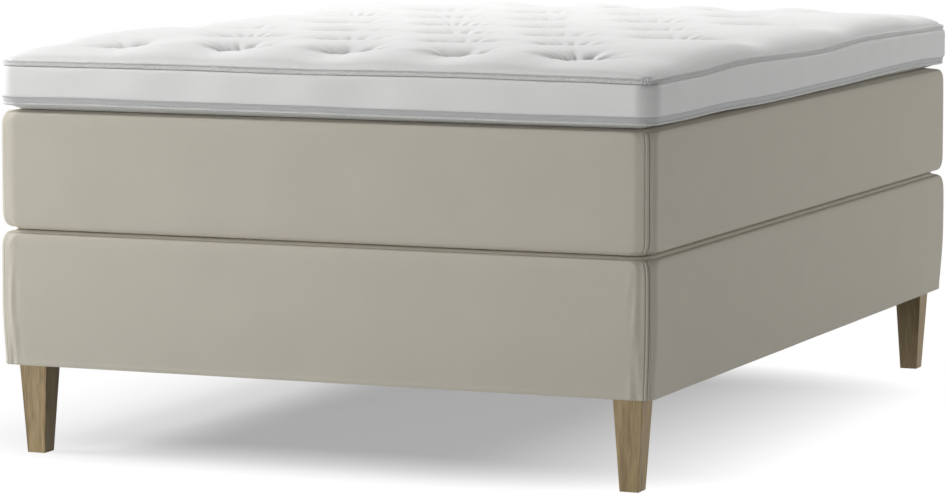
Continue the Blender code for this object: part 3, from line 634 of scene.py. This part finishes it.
def seam_relief(from_seam, lines, has_strip):
    """How far a corner's sewn lines, and the strip and hollow beside them, move the cloth."""
    relief = 0.0 * from_seam
    for place, depth in lines:
        relief = relief - depth * seam_groove_depth * bell(from_seam - place, seam_groove_width)
    if has_strip:
        first, last = lines[0][0], lines[1][0]
        across = (from_seam - (first + last) / 2) / ((last - first) / 2)
        relief = relief + seam_strip_rise * np.clip(1 - across**4, 0, 1)
        relief = relief - seam_hollow_depth * bell(from_seam - seam_hollow_place, seam_hollow_width)
    return relief


def upholstered_sides(layer, low, high, bulge, corner_share, hemmed, shares, backs, lines, powers):
    """The four sides of a box in cloth, with sewn lines down each corner.

    shares are the rows' heights between low and high, and backs the (radius, height) of the rows behind.
    """
    for turn, end in enumerate(side_names):
        has_strip = turn % 2 == 0
        shift = lines[1][0] if has_strip else -lines[1][0]
        trim = -inner_gap / 2
        side = Side(turn, corner_radius, corner_distances, corner_steps, -shift - trim, shift + trim)
        height = low + (high - low) * shares
        to_seam = high - height if hemmed else np.minimum(high - height, height - low)
        radius = corner_radius + eased(to_seam, corner_roll, seam_corner_radius - corner_radius)
        swell = swell_share(shares, hemmed, *powers)
        seam = np.where(hemmed & (shares < 0.5), 0.0, -seam_recess)
        turned = np.abs(side.angle) / (math.pi / 4)
        near = np.clip(turned, 0, 1)[None, :] * (corner_share - 1) + 1
        offset = (seam * (1 - swell))[:, None] + bulge * swell[:, None] * near
        rise = height[:, None] + 0 * offset
        from_seam = side.from_corner((radius + offset[:, 0])[:, None])
        calm = np.clip(to_seam / calm_height, 0, 1)[:, None]
        rippled = ripple(side.length[None, :], rise, cloth_ripple_length, 11 * turn + 3)
        offset = offset + cloth_ripple * rippled * calm
        offset = offset + seam_relief(from_seam if has_strip else -from_seam, lines, has_strip)
        if hemmed:
            offset = offset + hem_roll * bell(rise - low - hem_height / 2, hem_height / 2.0)
            offset = offset - hem_roll * hem_groove_share * bell(rise - low - hem_height, hem_height / 4)
        if hemmed and has_strip:
            folds = ripple(side.length[None, :] * pucker_squeeze, rise, pucker_length, 31 + turn)
            offset = offset + pucker_depth * folds * bell(from_seam - pucker_place, pucker_width) * calm
        rows = [side.points(radius[:, None], offset, rise)]
        inset = upholstery_depth - inner_gap
        for back_radius, back_height in backs[::-1]:
            plain = np.ones((1, side.count))
            rows.append(side.points((inset + back_radius) * plain, -inset * plain, back_height * plain))
        points = np.concatenate(rows)
        count = len(points)
        faces = grid_faces(count, side.count, ring_rows=True)
        faces.append([row * side.count for row in range(count)])
        faces.append([row * side.count + side.count - 1 for row in range(count)][::-1])
        node = layer + "_side_cover_" + end
        name = node.replace("cover", "cloth")
        piece = new_piece(name, points, faces, layer, "greige_fabric", [node], soft_crease)


def rounded_grid(half_x, half_y, radius, lines_x, lines_y):
    """Points of a grid drawn in to a rounded outline, and each point's distance inside that outline."""
    x, y = np.meshgrid(lines_x, lines_y)
    over_x = np.clip((np.abs(x) - half_x + radius) / radius, 0, 1)
    over_y = np.clip((np.abs(y) - half_y + radius) / radius, 0, 1)
    corner = (over_x > 0) & (over_y > 0)
    drawn_x = half_x - radius + radius * over_x * np.sqrt(1 - over_y**2 / 2)
    drawn_y = half_y - radius + radius * over_y * np.sqrt(1 - over_x**2 / 2)
    x = np.where(corner, np.sign(x) * drawn_x, x)
    y = np.where(corner, np.sign(y) * drawn_y, y)
    straight = np.minimum(half_x - np.abs(x), half_y - np.abs(y))
    turned = radius - np.hypot(np.abs(x) - half_x + radius, np.abs(y) - half_y + radius)
    return x, y, np.maximum(np.where(corner, turned, straight), 0.0)


def graded_lines(half, radius, pitch, edge_steps=6):
    """Grid lines from -half to half: even inside, and closer together along the edge."""
    reach = half - radius
    count = max(2, round(2 * reach / pitch))
    inner = np.linspace(-reach, reach, count + 1)
    outer = reach + radius * np.sin(np.linspace(0, math.pi / 2, edge_steps + 1))[1:]
    return np.concatenate((-outer[::-1], inner, outer))


def slab(name, half_x, half_y, radius, pitch, top, bottom, body, slot, nodes, plain_below=False):
    """A flat soft piece with a rounded plan. top and bottom give heights from (x, y, distance inside)."""
    lines_x = graded_lines(half_x, radius, pitch)
    lines_y = graded_lines(half_y, radius, pitch)
    x, y, inside = rounded_grid(half_x, half_y, radius, lines_x, lines_y)
    upper = np.stack((x, y, top(x, y, inside) + 0 * x), axis=-1)
    lower = np.stack((x, y, bottom(x, y, inside) + 0 * x), axis=-1)
    points, faces = closed_grid(upper, lower, plain_below)
    return new_piece(name, points, faces, body, slot, nodes, soft_crease)


def eased(inside, width, depth):
    """How far an edge drops over its last width, as a quarter round of that depth."""
    share = np.clip(1 - inside / width, 0, 1)
    return depth * (1 - np.sqrt(1 - share**2))


def cover_lid(name, node, seam, crown, body, roll_width):
    """The flat cloth over or under a box, rolled to the seam round its edge and a little uneven."""
    edge = seam_recess
    height = abs(crown - seam)
    up = 1 if crown > seam else -1

    def outer(x, y, inside):
        calm = np.clip(inside / lid_calm_width, 0, 1)
        lumps = lid_lump * (ripple(x, y, lid_lump_length, 5) - 1) * calm
        return crown + up * (lumps - eased(inside, roll_width, height * lid_drop_share))

    def inner(x, y, inside):
        return seam + up * lid_thinnest

    piece = slab(
        name, half_width - edge, half_length - edge, seam_corner_radius - edge, lid_pitch, outer, inner,
        body, "greige_fabric", [node],
    )


def make_base():
    backs = ((hem_back_radius, hem_level), (hem_back_radius, felt_low), (seam_back_radius, base_seam))
    upholstered_sides(
        "base", hem_level, base_seam, base_bulge, base_corner_share, True, base_row_shares, backs,
        base_seam_lines, (soft_edge_power, firm_edge_power),
    )
    cover_lid("base_top_cloth", "base_top_cover", base_seam, base_top, "base", lid_roll)


def make_mattress():
    low, high = mattress_low_seam, mattress_high_seam
    backs = ((seam_back_radius, low), (seam_back_radius, high))
    upholstered_sides(
        "mattress", low, high, mattress_bulge, mattress_corner_share, False, mattress_row_shares, backs,
        mattress_seam_lines, (firm_edge_power, firm_edge_power),
    )
    cover_lid("mattress_top_cloth", "mattress_top_cover", high, mattress_top, "mattress", lid_roll_wide)
    cover_lid("mattress_bottom_cloth", "mattress_bottom_cover", low, mattress_bottom, "mattress", lid_roll)


def tuft_places():
    """Centres of the tufts: full rows, and between them rows with one less, half a step across."""
    column_pitch = 2 * (half_width - tuft_side_margin) / (tuft_columns - 1)
    row_pitch = 2 * (half_length - tuft_end_margin) / (tuft_rows - 1)
    places = []
    for row in range(tuft_rows):
        count = tuft_columns - row % 2
        for column in range(count):
            across = (column - (count - 1) / 2) * column_pitch
            places.append((across, row * row_pitch - half_length + tuft_end_margin))
    return places


def run_out(off, place, last):
    """Beyond the outermost tufts a hollow runs on towards the edge."""
    if not math.isclose(abs(place), last):
        return off
    return np.where(off * place > 0, off * hollow_run_out_share, off)


def tuft_folds(off_x, off_y, seed):
    """Creases that run out from one tuft: sharp valleys between rounded folds of unlike width."""
    random = np.random.default_rng(seed)
    count = random.integers(*fold_counts)
    first, second, third = random.uniform(0, 2 * math.pi, 3)
    distance = np.hypot(off_x / tuft_stretch, off_y)
    angle = np.arctan2(off_y, off_x / tuft_stretch)
    warped = angle + fold_warps[0] * np.sin(angle + first) + fold_warps[1] * np.sin(2 * angle + second)
    crease = 1 - np.sqrt(np.sin(count * warped / 2) ** 2 + fold_sharpness**2)
    even, once, thrice = fold_strengths
    strength = even + once * np.sin(angle + third) + thrice * np.sin(3 * angle + first)
    share = distance / fold_reach
    return fold_depth * strength * crease * share * np.exp(1 - share)


def edge_round(inside):
    share = np.clip(inside / crown_edge_width, 0, 1)
    return np.clip(1 - (1 - share) ** crown_power, 0, 1) ** (1 / crown_power)


def crown_share(x, y):
    """How full the topper's face is, from 0 at its rim to 1 at its highest, before the tufts."""
    return edge_round(half_width - np.abs(x)) * edge_round(half_length - np.abs(y))


def tufts_sunk(x, y):
    """How far the tufts pull the face down."""
    tufts = tuft_places()
    last_x = max(place[0] for place in tufts)
    last_y = max(place[1] for place in tufts)
    sunk = 0.0 * x
    for number, (tuft_x, tuft_y) in enumerate(tufts):
        off_x, off_y = x - tuft_x, y - tuft_y
        distance = np.hypot(off_x / tuft_stretch, off_y)
        near = distance < fold_extent * fold_reach
        sunk = sunk + tuft_depth * np.exp(-((distance / tuft_reach) ** tuft_power))
        run_x = run_out(off_x, tuft_x, last_x) / hollow_radius_across
        run_y = run_out(off_y, tuft_y, last_y) / hollow_radius_along
        sunk = sunk + hollow_depth * np.exp(-(run_x**2) - run_y**2)
        sunk[near] += tuft_folds(off_x[near], off_y[near], number)
    return sunk


def seam_wave(knots, turn, length):
    """A smooth height between the knots of one side."""
    share = np.clip(length / half_sides[turn], -1, 1)
    places, heights = np.array(knots[turn])
    part = np.clip(np.searchsorted(places, share, side="right") - 1, 0, len(places) - 2)
    along = (share - places[part]) / (places[part + 1] - places[part])
    return heights[part] + (heights[part + 1] - heights[part]) * (1 - np.cos(math.pi * along)) / 2


def top_seam_wave(turn, length):
    return seam_wave(top_seam_knots, turn, length)


def low_seam_wave(turn, length):
    """The low seam's wave with a fine ripple on it, which ends at the corners."""
    calm = np.clip((half_sides[turn] - np.abs(length)) / low_wave_corner, 0, 1)
    fine = low_wave * ripple(length, 0.0, low_wave_length, 83 + 7 * turn)
    return seam_wave(low_seam_knots, turn, length) + fine * calm


def wave_at_edge(wave, x, y):
    """A seam's wave at the place on the edge that is nearest to (x, y)."""
    sideways = half_width - np.abs(x) < half_length - np.abs(y)
    turn_x = np.where(x > 0, wave(1, y), wave(3, -y))
    turn_y = np.where(y < 0, wave(0, x), wave(2, -x))
    return np.where(sideways, turn_x, turn_y)


def wave_near_edge(x, y, inside):
    """The top seam's wave, fading out over the face."""
    return wave_at_edge(top_seam_wave, x, y) * bell(inside, top_wave_reach)


def make_tufted_top():
    edge = top_groove_offset
    half_x, half_y = half_width - edge, half_length - edge
    radius = topper_corner_radius - edge
    lowest = crown_foot + top_groove_level
    room = crown_top - top_groove_level

    def top(x, y, inside):
        full = crown_share(x * half_width / half_x, y * half_length / half_y)
        height = full * room * (1 - np.tanh((tufts_sunk(x, y) / room) ** 2) ** 0.5)
        return lowest + height + wave_near_edge(x, y, inside)

    def bottom(x, y, inside):
        return crown_foot + wave_near_edge(x, y, inside)

    piece = slab(
        "topper_tufted_cloth", half_x, half_y, radius, top_grid_pitch, top, bottom, "topper", "white_knit",
        ["topper_tufted_top"], plain_below=True,
    )


def ring_sides(arc_steps):
    return [Side(turn, topper_corner_radius, topper_corner_distances, arc_steps) for turn in range(4)]


def ring_piece(name, levels, slot, low_share, nodes=(), wrinkle=0.0):
    """A closed band round the topper. levels are (offset, height) round its section.

    low_share says, for each level, how far it follows the low seam's wave rather than the top one's.
    """
    offsets, heights = np.array(levels, float).T
    follow = (low_share * np.ones(len(levels)))[:, None]
    parts = []
    for side in ring_sides(topper_arc_steps):
        low = low_seam_wave(side.turn, side.length)
        high = top_seam_wave(side.turn, side.length)
        lift = follow * low + (1 - follow) * high
        calm = 4 * (follow * (1 - follow))
        stretched = heights[:, None] * wrinkle_stretch
        creases = ripple(side.length[None, :], stretched, wrinkle_length, 19 * side.turn + 5)
        offset = offsets[:, None] + wrinkle * calm * creases
        block = side.points(np.full(offset.shape, topper_corner_radius), offset, heights[:, None] + lift)
        parts.append(block[:, :-1])
    points = np.concatenate(parts, axis=1)
    faces = grid_faces(points.shape[0], points.shape[1], ring_rows=True, ring_columns=True)
    return new_piece(name, points, faces, "topper", slot, nodes, band_crease)


def overlock(name, centre_out, centre_up, half_out, half_up, wave):
    """Threads sewn over an edge: each wraps round the outside of a rounded edge, leaning a little."""
    turns = np.radians(np.linspace(*thread_wrap, thread_steps))
    starts = np.arange(thread_sides) * thread_steps
    here = starts[:, None] + np.arange(thread_steps - 1)
    beside = np.roll(here, -1, axis=0)
    tube = np.stack((here, beside, beside + 1, here + 1), axis=-1).reshape(-1, 4)
    points, faces = [], []
    first = 0
    for side in ring_sides(thread_arc_steps):
        start, stop = side.length[0], side.length[-1]
        random = np.random.default_rng(side.turn)
        for number in range(round((stop - start) / overlock_pitch)):
            jitter = random.uniform(-thread_jitter, thread_jitter)
            middle = start + (number + 0.5 + jitter) * overlock_pitch
            lean = thread_lean * random.uniform(*thread_lean_spread)
            places = middle + lean * np.sin(turns) * overlock_pitch
            share = np.interp(places, side.length, side.share)
            angle = np.interp(places, side.length, side.angle)
            base = side.along * share[:, None] * (side.half_along - topper_corner_radius)
            base = base + side.out * (side.half_out - topper_corner_radius)
            for corner in range(thread_sides):
                roll = 2 * math.pi * corner / thread_sides
                grow = thread_radius * math.cos(roll)
                out = topper_corner_radius + centre_out + (half_out + grow) * np.cos(turns)
                up = centre_up + (half_up + grow) * np.sin(turns) + wave(side.turn, places)
                aside = side.onward(angle) * (thread_radius * math.sin(roll))
                flat = base + side.outward(angle) * out[:, None] + aside
                points.append(np.concatenate((flat, up[:, None]), axis=1))
            faces += (tube + first).tolist()
            faces.append((starts + first).tolist())
            faces.append((starts + first + thread_steps - 1).tolist())
            first += thread_sides * thread_steps
    new_piece(name, np.concatenate(points), faces, "topper", "white_knit")


def sewn_edge(end, middle_out, middle_up, half_out, half_up, wave, low_share):
    """A rolled lip round the topper, and the overlock thread over it."""
    angles = np.linspace(0, 2 * math.pi, lip_steps, endpoint=False)
    lip_out = half_out - lip_below_thread
    lip_up = half_up - lip_below_thread
    levels = [(middle_out + lip_out * math.cos(a), middle_up + lip_up * math.sin(a)) for a in angles]
    ring_piece(f"topper_{end}_seam_lip", levels, "white_knit", low_share)
    overlock(f"topper_{end}_overlock", middle_out, middle_up, half_out, half_up, wave)


def make_border():
    """The smooth side of the topper between zip band and top seam, with a wall behind it."""
    share = (1 - np.cos(np.pi * np.linspace(0, 1, border_rows))) / 2
    swell = swell_share(share, False)
    seam = border_low_offset + (border_high_offset - border_low_offset) * share
    front = zip(seam * (1 - swell) + border_bulge * swell, border_low + (border_high - border_low) * share)
    back = ((border_high_offset - border_wall, border_high), (border_low_offset - border_wall, border_low))
    levels = (*front, *back)
    low_share = np.concatenate((1 - share, (0.0, 1.0)))
    ring_piece("topper_border_cloth", levels, "white_knit", low_share, ["topper_border"], border_wrinkle)


def zip_offset(height):
    share = (height - zip_low) / (zip_high - zip_low)
    return zip_band_low_offset + (zip_band_high_offset - zip_band_low_offset) * share


def make_zip_tapes():
    """The zip's two tapes, each from the teeth at its near edge to its far edge."""
    tapes = (("lower", zip_meet, zip_low - zip_tape_tuck, -1), ("upper", zip_meet + zip_gap, zip_high, 1))
    for end, near, far, up in tapes:
        levels = [
            (zip_offset(near) + chain_rise, near),
            (zip_offset(near) + chain_rise, near + up * chain_half_width * chain_flat_share),
            (zip_offset(near), near + up * chain_half_width),
            (zip_offset(far), far),
            (zip_offset(far) - zip_tape_thickness, far),
            (zip_offset(near) - zip_tape_thickness, near),
        ]
        node = "topper_zip_tape_" + end
        ring_piece(node + "_cloth", levels, "zip_tape", 1.0, [node])


def topper_floor(x, y, inside):
    """Height of the topper's underside, which rises to the bottom seam round its edge."""
    rise = bottom_rise + wave_at_edge(low_seam_wave, x, y)
    return topper_bottom + rise * np.clip(1 - inside / bottom_roll, 0, 1)


def over_topper_floor(x, y, inside):
    """Height of the inner face of the topper's bottom cloth."""
    return topper_floor(x, y, inside) + bottom_thickness


def make_topper():
    make_tufted_top()
    make_border()
    make_zip_tapes()
    sewn_edge(
        "bottom", bottom_lip_out - bottom_lip_half, topper_bottom + bottom_lip_level, bottom_lip_half,
        bottom_lip_half, low_seam_wave, 1.0,
    )
    sewn_edge(
        "top", top_lip_out - top_lip_depth, crown_foot + top_lip_half + top_lip_lift, top_lip_depth,
        top_lip_half, top_seam_wave, 0.0,
    )
    cover = slab(
        "topper_bottom_cloth", half_width - bottom_inset, half_length - bottom_inset,
        topper_corner_radius - bottom_inset, bottom_pitch, over_topper_floor, topper_floor, "topper",
        "white_knit", ["topper_bottom_cover"],
    )


def soft_copy(node, body, slot, dent, lowest=None):
    """A pad cut to its node's outline, its faces a little uneven and never beyond the node.

    lowest gives the least height from (x, y, distance inside) where a cloth rises under the pad's edge.
    """
    shape = bmesh.new()
    shape.from_mesh(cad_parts[node].data)
    bmesh.ops.remove_doubles(shape, verts=shape.verts, dist=1e-6)
    low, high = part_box(node)
    for axis in range(3):
        count = math.ceil((high[axis] - low[axis]) / pad_pitch)
        across = Vector([float(axis == other) for other in range(3)])
        for step in range(1, count):
            place = across * (low[axis] + (high[axis] - low[axis]) * step / count)
            parts = shape.verts[:] + shape.edges[:] + shape.faces[:]
            bmesh.ops.bisect_plane(shape, geom=parts, plane_co=place, plane_no=across)
    shape.normal_update()
    points = np.array([vert.co[:] for vert in shape.verts])
    normals = np.array([vert.normal[:] for vert in shape.verts])
    dents = ripple(points[:, 0] + points[:, 2], points[:, 1], dent_length, len(node))
    uneven = 0.5 + 0.5 * np.clip(dents, -1, 1)
    points = points - normals * (dent * uneven)[:, None]
    if lowest:
        x, y = points[:, 0], points[:, 1]
        inside = np.minimum(half_width - np.abs(x), half_length - np.abs(y))
        points[:, 2] = np.maximum(points[:, 2], lowest(x, y, np.maximum(inside, 0.0)))
    faces = [[vert.index for vert in face.verts] for face in shape.faces]
    shape.free()
    piece = new_piece(node + "_cut", points, faces, body, slot, [node], pad_crease)


def pocket_springs(node, body):
    """Rows of round cloth pockets with springs, domed above and below and scalloped round the outside."""
    low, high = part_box(node)
    half_x, half_y = high.x, high.y
    across = round(2 * half_x / pocket_width) * pocket_steps
    along = round(2 * half_y / pocket_width) * pocket_steps
    column, row = np.meshgrid(np.arange(across + 1), np.arange(along + 1))
    in_column, in_row = column / pocket_steps % 1, row / pocket_steps % 1
    x = (2 * column / across - 1) * half_x
    y = (2 * row / along - 1) * half_y
    notch_x = pocket_notch * (1 - np.sin(math.pi * in_row))
    notch_y = pocket_notch * (1 - np.sin(math.pi * in_column))
    x = x - np.sign(x) * notch_x * ((column == 0) | (column == across))
    y = y - np.sign(y) * notch_y * ((row == 0) | (row == along))
    from_middle = np.hypot(2 * in_column - 1, 2 * in_row - 1)
    sunk = pocket_dome * np.clip(from_middle - pocket_flat_share, 0, 1) ** pocket_dome_power
    upper = np.stack((x, y, high.z - sunk), axis=-1)
    lower = np.stack((x, y, low.z + sunk), axis=-1)
    points, faces = closed_grid(upper, lower)
    name = node + "_pockets"
    piece = new_piece(name, points, faces, body, "pocket_cloth", [node], pocket_crease)


def make_dust_cover():
    """The black cloth stapled under the base, hanging a little between the rails and the centre beam."""
    low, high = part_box("base_dust_cover")

    def bottom(x, y, inside):
        between = np.abs(np.sin(math.pi * x / high.x)) * np.cos(math.pi * y / high.y / 2) ** 0.5
        change = 1 + dust_sag_change * ripple(x, y, dust_wave_length, 9)
        return low.z - dust_sag * np.nan_to_num(between) * change

    def top(x, y, inside):
        return dust_thickness + bottom(x, y, inside)

    piece = slab(
        "base_dust_cloth", high.x, high.y, dust_corner_radius, dust_pitch, top, bottom, "base",
        "dust_cloth", ["base_dust_cover"],
    )


def make_fillings():
    make_dust_cover()
    pocket_springs("base_spring_unit", "base")
    pocket_springs("mattress_spring_unit", "mattress")
    soft_copy("base_felt_pad", "base", "felt", felt_dent)
    soft_copy("base_foam_pad", "base", "foam", foam_pad_dent)
    soft_copy("mattress_comfort_foam", "mattress", "foam", foam_pad_dent)
    for end in side_names:
        soft_copy("mattress_edge_foam_" + end, "mattress", "foam", foam_block_dent)
    soft_copy("topper_foam_core", "topper", "foam", foam_block_dent, lowest=over_topper_floor)


def dress_hard_pieces():
    """Gives the CAD nodes that stay the finish that their material's name asks for."""
    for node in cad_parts.values():
        for socket in node.material_slots:
            name = socket.material.name if socket.material else ""
            wanted = next((key for key in finishes if key in name), None)
            if wanted:
                socket.material = finishes[wanted]


# Camera, fitted to the photograph
camera_place = (3.4145, -8.4955, 1.3463)
camera_yaw = 0.3899
camera_pitch = 0.1086
focal_pixels = 4209.3058
photo_width = 946
sensor_width = 36.0
camera_reach = 100

# Light: a weak even surround, and lamps given as (name, place, width, power)
ambient_strength = 0.038
lamp_aim = (0.0, 0.0, 0.5)
lamps = (
    ("key", (-5.2, -1.7, 3.8), 2.6, 278.0),
    ("low_front", (-2.8, -7.0, 0.6), 1.0, 187.0),
    ("side", (8.2, 2.4, 2.2), 3.6, 208.0),
    ("back", (-0.5, 2.9, 4.9), 3.2, 174.0),
)

# Floor: beyond a middle part of this half size, the shadow under the bed turns to plain white
floor_half = 30.0
shadow_shift = (0.11, 0.10, 0.0)
shadow_stretch = (1.0, 1.7, 1.0)
shadow_half_size = (0.26, 0.986, 0.0)
floor_fade = 0.65
floor_fade_power = 1.4
# Inside that part the paper is dim and lifted by a glow, so it is darker than the white beyond even where
# lamps reach it: a painted shadow round the bed, with the lamps' own shadows in it.
floor_white = 0.45
floor_glow = 0.375
floor_bounce = 0.55


def make_camera():
    data = bpy.data.cameras.new("photo_camera")
    data.sensor_width = sensor_width
    data.lens = focal_pixels / photo_width * sensor_width
    data.clip_end = camera_reach
    camera = new_object("photo_camera", data)
    level = math.cos(camera_pitch)
    ahead = Vector((-math.sin(camera_yaw) * level, math.cos(camera_yaw) * level, -math.sin(camera_pitch)))
    camera.location = camera_place
    camera.rotation_euler = ahead.to_track_quat("-Z", "Y").to_euler()
    bpy.context.scene.camera = camera


def area_light(name, place, width, power):
    data = bpy.data.lights.new(name, "AREA")
    data.shape = "DISK"
    data.size = width
    data.energy = power
    light = new_object(name, data)
    light.location = place
    light.rotation_euler = (Vector(lamp_aim) - Vector(place)).to_track_quat("-Z", "Y").to_euler()


def grey(strength):
    return (strength, strength, strength, 1.0)


def cleared_nodes(owner):
    owner.use_nodes = True
    owner.node_tree.nodes.clear()
    return Nodes(owner.node_tree)


def seen_directly(nodes):
    """1 for rays from the camera and for those that a mirror or glass sends on, else 0."""
    path = nodes.add("ShaderNodeLightPath")
    seen = path.outputs["Is Camera Ray"]
    for name in ("Is Glossy Ray", "Is Transmission Ray"):
        seen = nodes.math("MAXIMUM", seen, path.outputs[name])
    return seen


def make_world():
    """White where it is seen directly, and a weak light for all other rays."""
    world = bpy.data.worlds.new("studio")
    bpy.context.scene.world = world
    nodes = cleared_nodes(world)
    strength = nodes.add("ShaderNodeMix", {0: seen_directly(nodes), 2: ambient_strength, 3: 1.0})
    background = nodes.add("ShaderNodeBackground", {"Color": grey(1.0), "Strength": strength})
    nodes.add("ShaderNodeOutputWorld", {0: background})


def make_floor():
    """Paper that shows the bed's shadow near it and plain white further out."""
    mesh = bpy.data.meshes.new("studio_floor")
    size = floor_half
    corners = [(-size, -size, 0), (size, -size, 0), (size, size, 0), (-size, size, 0)]
    mesh.from_pydata(corners, [], [(0, 1, 2, 3)])
    floor = new_object("studio_floor", mesh)
    material = bpy.data.materials.new("floor_paper")
    nodes = cleared_nodes(material)
    # Dim paper lifted by a glow: near the bed a painted shadow, darker than the white beyond even where lit.
    paper = nodes.add("ShaderNodeBsdfDiffuse", {"Color": grey(floor_white)})
    glow = nodes.add("ShaderNodeEmission", {"Color": grey(floor_glow)})
    shadowed = nodes.add("ShaderNodeAddShader", {0: paper, 1: glow})
    place = nodes.add("ShaderNodeTexCoord").outputs["Object"]
    shifted = nodes.vector("ADD", place, shadow_shift)
    folded = nodes.vector("ABSOLUTE", nodes.vector("MULTIPLY", shifted, shadow_stretch))
    past = nodes.vector("MAXIMUM", nodes.vector("SUBTRACT", folded, shadow_half_size), (0.0, 0.0, 0.0))
    beyond = nodes.vector("LENGTH", past).outputs["Value"]
    # The fade from the painted shadow near the bed to plain white.
    share = nodes.add("ShaderNodeMapRange", {"Value": beyond, "From Max": floor_fade})
    fade = nodes.math("POWER", share, floor_fade_power)
    white = nodes.add("ShaderNodeEmission")
    shown = nodes.add("ShaderNodeMixShader", {0: fade, 1: shadowed, 2: white})
    bounce = nodes.add("ShaderNodeBsdfDiffuse", {"Color": grey(floor_bounce)})
    surface = nodes.add("ShaderNodeMixShader", {0: seen_directly(nodes), 1: bounce, 2: shown})
    nodes.add("ShaderNodeOutputMaterial", {"Surface": surface})
    mesh.materials.append(material)


make_base()
make_mattress()
make_topper()
make_fillings()
dress_hard_pieces()
make_camera()
make_world()
make_floor()
for lamp in lamps:
    area_light(*lamp)
bpy.context.scene.view_settings.view_transform = "Standard"
